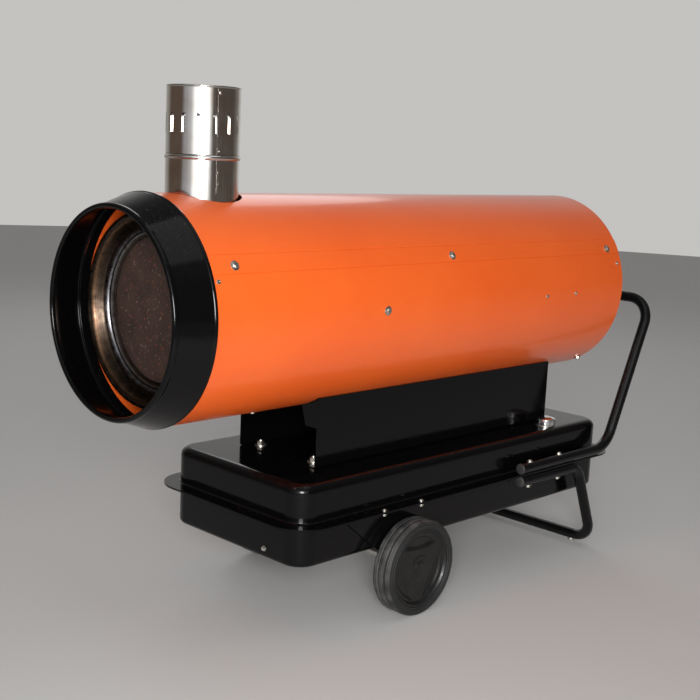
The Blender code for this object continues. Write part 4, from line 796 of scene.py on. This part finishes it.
# Chrome: bright and clean, with the faintest haze of handling in patches of 12 mm.
chrome, *_ = finish("chrome_plate", "DEDFE0", 0.08, 1.0, film=(0.012, 5, 0.35, 0.75, 0.05, 0.16))

neck_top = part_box("filler_neck")[1].z
neck_bore, neck_radius, collar_radius, neck_depth = 0.0140, 0.0160, 0.0205, 0.0310
filler = Matrix.Translation((filler_x, filler_y, neck_top))
outline = [(neck_bore, 0.0), (neck_radius, 0.0), (neck_radius, -0.0066), (collar_radius, -0.0066),
           (collar_radius, -0.0087), (neck_radius, -0.0087), (neck_radius, -neck_depth), (neck_bore, -neck_depth)]
fitted(spun("filler_neck_pressed", outline, filler, 64), zinc, "heater", "zinc_plate", "filler_neck")
outline = [(neck_bore, 0.0003), (0.0182, 0.0003), (0.0182, 0.0023), (neck_bore, 0.0023)]
fitted(spun("cap_gasket_ring", outline, filler, 64), rubber, "cap", "black_rubber", "cap_gasket")
top, rim = (z - neck_top for z in (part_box("filler_cap")[1].z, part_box("filler_cap")[0].z))
outline = softened(((0.0, top), (0.0100, top - 0.0004), (0.0175, top - 0.0024), (0.0206, top - 0.0045),
                    (0.0206, rim), (0.0186, rim), (0.0186, 0.0026), (0.0134, 0.0026), (0.0134, -0.0034),
                    (0.0, -0.0034)), 0.0010, 3)
cap = spun("filler_cap_chromed", outline, Matrix(), 120)
grip = box("cap_grip", (0.0203, -0.0004, rim + 0.0012), (0.024, 0.0004, top - 0.0055))
grown(cap, cut_tree, Cutter=grip, Count=40, Material=chrome)
bpy.data.objects.remove(grip)
cap.data.transform(filler)
fitted(cap, chrome, "cap", "chrome", "filler_cap")

plug_low, plug_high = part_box("drain_plug")
plug = welded("drain_plug_bolt", hexagon(0.0065, 0.0012, 0.0046, 0.0005), washer(0.0048, 0.0012),
              spun("plug_shank", ((0.0, -0.006), (0.0045, -0.006), (0.0045, 0.0003), (0.0, 0.0003)), steps=24))
plug.data.transform(Matrix.Translation((plug_high.x - 0.006, (plug_low.y + plug_high.y) / 2,
                                        (plug_low.z + plug_high.z) / 2)) @ Matrix.Rotation(-math.pi / 2, 4, "Y"))
fitted(plug, zinc, "heater", "zinc_plate", "drain_plug")


# Handle and leg: 22 mm tube, each bent from one length and coated satin black. The handle lies on
# the tank's flange and the leg under it, the same four bolts go through both, and the leg has two
# plated studs for feet.

# Satin black powder coat: near black, with a fine texture drawn at 2 mm, and rubbed shinier in
# patches of 30 mm.
satin, *_ = finish("satin_black_powder", "080809", 0.26, clouds=(0.002, 3, ((0.4, "080809"), (0.75, "121213"))),
                   film=(0.03, 5, 0.35, 0.7, 0.2, 0.34), grain=(0.002, 3, 0.00004), IOR=1.33)

tube_radius, bend_steps = 0.011, 14


def rounded_path(points, radii):
    """A path whose corners are true arcs, as a tube bender makes them."""
    points = [Vector(p) for p in points]
    path = [points[0]]
    for before, corner, after, radius in zip(points, points[1:], points[2:], radii):
        back, on = (before - corner).normalized(), (after - corner).normalized()
        half = back.angle(on) / 2
        middle = corner + (back + on).normalized() * radius / math.sin(half)
        first = (corner + back * radius / math.tan(half) - middle).normalized()
        last = (corner + on * radius / math.tan(half) - middle).normalized()
        path += [middle + radius * first.slerp(last, i / bend_steps) for i in range(bend_steps + 1)]
    return path + [points[-1]]


def bent_tube(name, path):
    """A round tube along a path, as a plain mesh."""
    curve = bpy.data.curves.new(name, "CURVE")
    curve.dimensions = "3D"
    curve.bevel_depth = tube_radius
    curve.bevel_resolution = 8
    curve.use_fill_caps = True
    spline = curve.splines.new("POLY")
    spline.points.add(len(path) - 1)
    for point, spot in zip(spline.points, path):
        point.co = (*spot, 1.0)
    drawn = placed(name, curve)
    shape = bmesh.new()
    shape.from_mesh(plain(drawn))
    bpy.data.objects.remove(drawn)
    return made(name, shape)


handle_low, handle_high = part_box("handle_tube")
leg_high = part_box("leg_tube")[1]
tube_y = 0.200
tube_front = handle_low.x
handle_z = handle_low.z + tube_radius
grip_x, grip_z = cad_box[1][0] - tube_radius, handle_high.z - tube_radius + 0.0008
# The handle's sides rise at 24 degrees from upright, through x 0.632 at z 0.529.
corner_x = 0.632 - (0.529 - handle_z) * math.tan(math.radians(24))
points = [(tube_front, -tube_y, handle_z), (corner_x, -tube_y, handle_z), (grip_x, -tube_y, grip_z),
          (grip_x, tube_y, grip_z), (corner_x, tube_y, handle_z), (tube_front, tube_y, handle_z)]
handle = bent_tube("handle_bent_tube", rounded_path(points, (0.060, 0.055, 0.055, 0.060)))
fitted(handle, satin, "heater", "black_paint", "handle_tube")
leg_z = leg_high.z - tube_radius
bend_x, bar_x, bar_z = 0.390, 0.46582, 0.015
points = [(tube_front, -tube_y, leg_z), (bend_x, -tube_y, leg_z), (bar_x, -tube_y, bar_z),
          (bar_x, tube_y, bar_z), (bend_x, tube_y, leg_z), (tube_front, tube_y, leg_z)]
leg = bent_tube("leg_bent_tube", rounded_path(points, (0.045,) * 4))
foot_radius, foot_height, foot_y = 0.007, 0.006, 0.150
feet = [spun("foot", disc(foot_radius, 0.0, foot_height, 0.0008), Matrix.Translation((bar_x, y, 0.0)), 24)
        for y in (-foot_y, foot_y)]
fitted(leg, satin, "heater", "black_paint", "leg_tube")
fitted(welded("foot_studs", *feet), zinc, "heater", "zinc_plate")

outline = softened(((0.0, 0.0040), (0.0088, 0.0037), (0.0110, 0.0020), (0.0110, 0.0002), (0.0092, 0.0002),
                    (0.0090, -0.0110), (0.0, -0.0110)), 0.0010, 3)
for kind, z in (("handle", handle_z), ("leg", leg_z)):
    for name, side in (("near", -1), ("far", 1)):
        place = Matrix.Translation((tube_front, side * tube_y, z)) @ Matrix.Rotation(-math.pi / 2, 4, "Y")
        plug = spun(f"{kind}_plug_{name}", outline, place, 40)
        fitted(plug, rubber, "heater", "black_rubber", f"{kind}_cap_{name}")


def through_bolts(name, across, spots, high, head, low, nut):
    """Bolts that stand on end, with their heads at one height and their nuts at another."""
    heads = seated(f"{name}_heads", hex_bolt(across, head), zinc, [((x, y, high), (0, 0, 1)) for x, y in spots])
    nuts = seated(f"{name}_nuts", hex_bolt(across, nut), zinc, [((x, y, low), (0, 0, -1)) for x, y in spots])
    fitted(welded(name, heads, nuts), zinc, "heater", "zinc_plate")


spots = [(x, y) for x in (0.219, 0.319) for y in (-tube_y, tube_y)]
through_bolts("tube_bolts", 0.0068, spots, handle_z + tube_radius - 0.0004, 0.0046,
              leg_z - tube_radius + 0.0004, 0.0054)


# Axle and brackets: a 16 mm steel bar through two black plates that are bolted under the flange.

kept(black, "axle_bracket_near", "axle_bracket_far")
wheel_x, wheel_z = -0.118, 0.088
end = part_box("axle")[1].y
place = Matrix.Translation((wheel_x, 0.0, wheel_z)) @ Matrix.Rotation(-math.pi / 2, 4, "X")
axle = spun("axle_bar", disc(0.008, -end, end, 0.001), place, 40)
fitted(axle, zinc, "heater", "zinc_plate", "axle")

flange_bolt_y = 0.1965
spots = [(front_x + along, side * flange_bolt_y) for side in (-1, 1) for along in (0.444, 0.541)]
through_bolts("flange_bolts", 0.0052, spots, tank_low.z + 0.0014, 0.0034,
              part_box("axle_bracket_near")[1].z - 0.0024, 0.0044)


# Wheels: a solid ribbed rubber tyre on a moulded hub with three shallow pockets in its face, turning
# on the axle behind a snapped-in cap.

# Tyre rubber: dark grey, scuffed to a dusty grey in rings about 1.5 mm apart by rolling.
tread, tree, shader, place = finish("scuffed_tyre_rubber", "2C2C2C", 0.6)
centred = node(tree, "ShaderNodeMapping", {"Vector": place, "Location": (-wheel_x, 0.0, -wheel_z)})
flat = node(tree, "ShaderNodeVectorMath", {0: centred, 1: (1.0, 0.0, 1.0)}, operation="MULTIPLY")
reach = node(tree, "ShaderNodeVectorMath", {0: flat}, operation="LENGTH")
sides = node(tree, "ShaderNodeSeparateXYZ", {0: centred}).outputs["Y"]
rings = node(tree, "ShaderNodeCombineXYZ", {0: reach, 1: sides})
rings = node(tree, "ShaderNodeTexNoise", {"Vector": rings, "Scale": 1 / 0.0015, "Detail": 2.0})
patches = node(tree, "ShaderNodeTexNoise", {"Vector": place, "Scale": 1 / 0.02, "Detail": 5.0})
scuffs = node(tree, "ShaderNodeMath", {0: rings, 1: patches}, operation="MULTIPLY")
worn = node(tree, "ShaderNodeMapRange", {0: reach, 1: 0.0835, 2: 0.0878, 3: 0.45, 4: 1.0})
scuffs = node(tree, "ShaderNodeMath", {0: scuffs, 1: worn}, operation="MULTIPLY")
scuffs = node(tree, "ShaderNodeValToRGB", {"Fac": scuffs}, ((0.1, "181818"), (0.2, "252525"), (0.33, "514F4D")))
pebble = node(tree, "ShaderNodeBump", {"Height": rings, "Distance": 0.0001})
wire(shader, {"Base Color": scuffs, "Normal": pebble})

side_line = [(0.0713, 0.0185), (0.0722, 0.0203), (0.0738, 0.0205), (0.0746, 0.0196), (0.0758, 0.0196),
             (0.0766, 0.0206), (0.0800, 0.0208), (0.0808, 0.0199), (0.0820, 0.0199), (0.0828, 0.0206),
             (0.0850, 0.0199), (0.0868, 0.0186), (0.0880, 0.0160), (0.0880, 0.0136), (0.0871, 0.0129),
             (0.0880, 0.0122), (0.0880, 0.0086), (0.0860, 0.0077), (0.0860, 0.0056), (0.0880, 0.0047)]
tyre_line = side_line + [(radius, -height) for radius, height in side_line[::-1]]
# The hub's flat face has a row of points each 0.8 mm, for its pockets. Each pocket lies between a
# bent chord and the hub's rim, and slopes down over its edge.
axle_hole, face_row, under_face = 0.0085, 0.0008, 0.012
pocket_chord, pocket_bend, pocket_rim, pocket_edge, pocket_depth = 0.034, 3.1, 0.0612, 0.0075, 0.0042
face_line = [(axle_hole, 0.0149), (0.0205, 0.0149), (0.0218, 0.0147), (0.0228, 0.0141)]
face_line += [(0.0235 + face_row * i, 0.0139) for i in range(49)]
face_line += [(0.0640, 0.0146), (0.0655, 0.0160), (0.0666, 0.0182), (0.0675, 0.0190), (0.0708, 0.0190)]
hub_line = face_line + [(0.0708, -0.0190), (0.0672, -0.0190), (0.0668, 0.0030), (0.0190, 0.0030),
                        (0.0190, -0.0210), (axle_hole, -0.0210)]
wheel_y = 0.201
for name, side in (("near", -1), ("far", 1)):
    place = Matrix.Translation((wheel_x, side * wheel_y, wheel_z)) @ Matrix.Rotation(-side * math.pi / 2, 4, "X")
    body = f"wheel_{name}"
    tyre = spun(f"tyre_{name}_ribbed", softened(tyre_line, 0.0006, 2), place, 128)
    fitted(tyre, tread, body, "black_rubber", f"tyre_{name}")
    hub = spun(f"hub_{name}_moulded", hub_line, Matrix(), 160)
    for vert in hub.data.vertices:
        radius, turn = math.hypot(vert.co.x, vert.co.y), math.atan2(vert.co.y, vert.co.x)
        for pocket in range(3):
            away = turn - math.pi / 2 - pocket * math.pi * 2 / 3
            inside = radius * math.cos(away) - pocket_chord - pocket_bend * (radius * math.sin(away)) ** 2
            inside = min(pocket_rim - radius, inside)
            if vert.co.z > under_face and inside > 0:
                share = min(1.0, inside / pocket_edge)
                vert.co.z -= pocket_depth * share * share * (3 - 2 * share)
    hub.data.transform(place)
    fitted(hub, nylon, body, "grey_plastic", f"hub_{name}")
    outline = softened(((0.0, 0.0178), (0.0080, 0.0174), (0.0125, 0.0160), (0.0135, 0.0152), (0.0, 0.0152)), 0.001, 3)
    fitted(spun(f"hub_cap_{name}_snapped", outline, place, 64), nylon, body, "grey_plastic", f"hub_cap_{name}")


# Studio: a pale plain floor under soft lamps, and the camera at the photograph's place.

# Floor: matt off-white, without pattern.
floor_paint, *_ = finish("studio_floor", "D2D1CF", 0.7, film=(0.4, 3, 0.3, 0.7, 0.66, 0.74), IOR=1.2)
floor_radius, floor_top, floor_under = 9.0, -0.0005, -0.02
floor = spun("studio_floor_disc", ((0.0, floor_top), (floor_radius, floor_top), (floor_radius, floor_under),
                                   (0.0, floor_under)), steps=64)
floor.data.materials.append(floor_paint)

# Air: pale behind the heater, white behind the camera, brown at the sides for the flue's dark bands,
# and plain grey overhead. The ramp goes once round, from the heater's front and back to it.
world = bpy.data.worlds.new("studio_air")
bpy.context.scene.world = world
world.use_nodes = True
tree = world.node_tree
way = node(tree, "ShaderNodeSeparateXYZ", {0: node(tree, "ShaderNodeTexCoord").outputs["Generated"]})
bearing = node(tree, "ShaderNodeMath", {0: way.outputs["Y"], 1: way.outputs["X"]}, operation="ARCTAN2")
bearing = node(tree, "ShaderNodeMapRange", {0: bearing, 1: -math.pi, 2: math.pi})
bearing = node(tree, "ShaderNodeValToRGB", {"Fac": bearing}, (
    (0.00, "858487"), (0.045, "A8A8AA"), (0.075, "FFFFFF"), (0.19, "FFFFFF"), (0.225, "47403B"), (0.44, "443D39"),
    (0.51, "6F6C69"), (0.55, "A3A2A0"), (0.69, "A3A2A0"), (0.73, "898785"), (0.78, "74716D"), (0.82, "4A3E36"),
    (0.955, "4A3E36"), (0.985, "858487")))
height = node(tree, "ShaderNodeMapRange", {0: way.outputs["Z"], 1: 0.45, 2: 0.75})
air = node(tree, "ShaderNodeMix", {0: height, 6: bearing, 7: colour("5E5E5F")}, data_type="RGBA")
wire(tree.nodes["Background"], {"Color": air, "Strength": 1.5})

for name, spot, target, size, power, spread in (
        ("key_lamp", (-2.0, -1.9, 0.9), (-0.1, 0.0, 0.45), 0.85, 24.5, 110),
        ("top_lamp", (-0.4, -0.8, 3.2), (0.0, 0.0, 0.4), 2.4, 9.0, 180),
        ("back_lamp", (2.0, 2.6, 2.6), (0.0, 0.0, 0.4), 2.0, 14.0, 180)):
    lamp = bpy.data.lights.new(name, "AREA")
    lamp.shape = "DISK"
    lamp.size = size
    lamp.energy = power
    lamp.spread = math.radians(spread)
    stand = placed(name, lamp)
    stand.visible_camera = False
    stand.location = spot
    stand.rotation_euler = (Vector(target) - Vector(spot)).to_track_quat("-Z", "Y").to_euler()

lens = bpy.data.cameras.new("photograph_view")
lens.lens = 60.31
lens.sensor_width = 36.0
lens.clip_end = 50.0
camera = placed("photograph_view", lens)
turn, dip, roll = math.radians(45.59), math.radians(9.75), math.radians(2.68)
ahead = Vector((math.sin(turn) * math.cos(dip), math.cos(turn) * math.cos(dip), -math.sin(dip)))
right = Vector((math.cos(turn), -math.sin(turn), 0.0))
top = right.cross(ahead)
right, top = right * math.cos(roll) + top * math.sin(roll), top * math.cos(roll) - right * math.sin(roll)
camera.matrix_world = Matrix((right, top, -ahead)).transposed().to_4x4()
camera.location = (-1.6597, -1.5246, 0.8263)
bpy.context.scene.camera = camera
bpy.context.scene.view_settings.view_transform = "Standard"
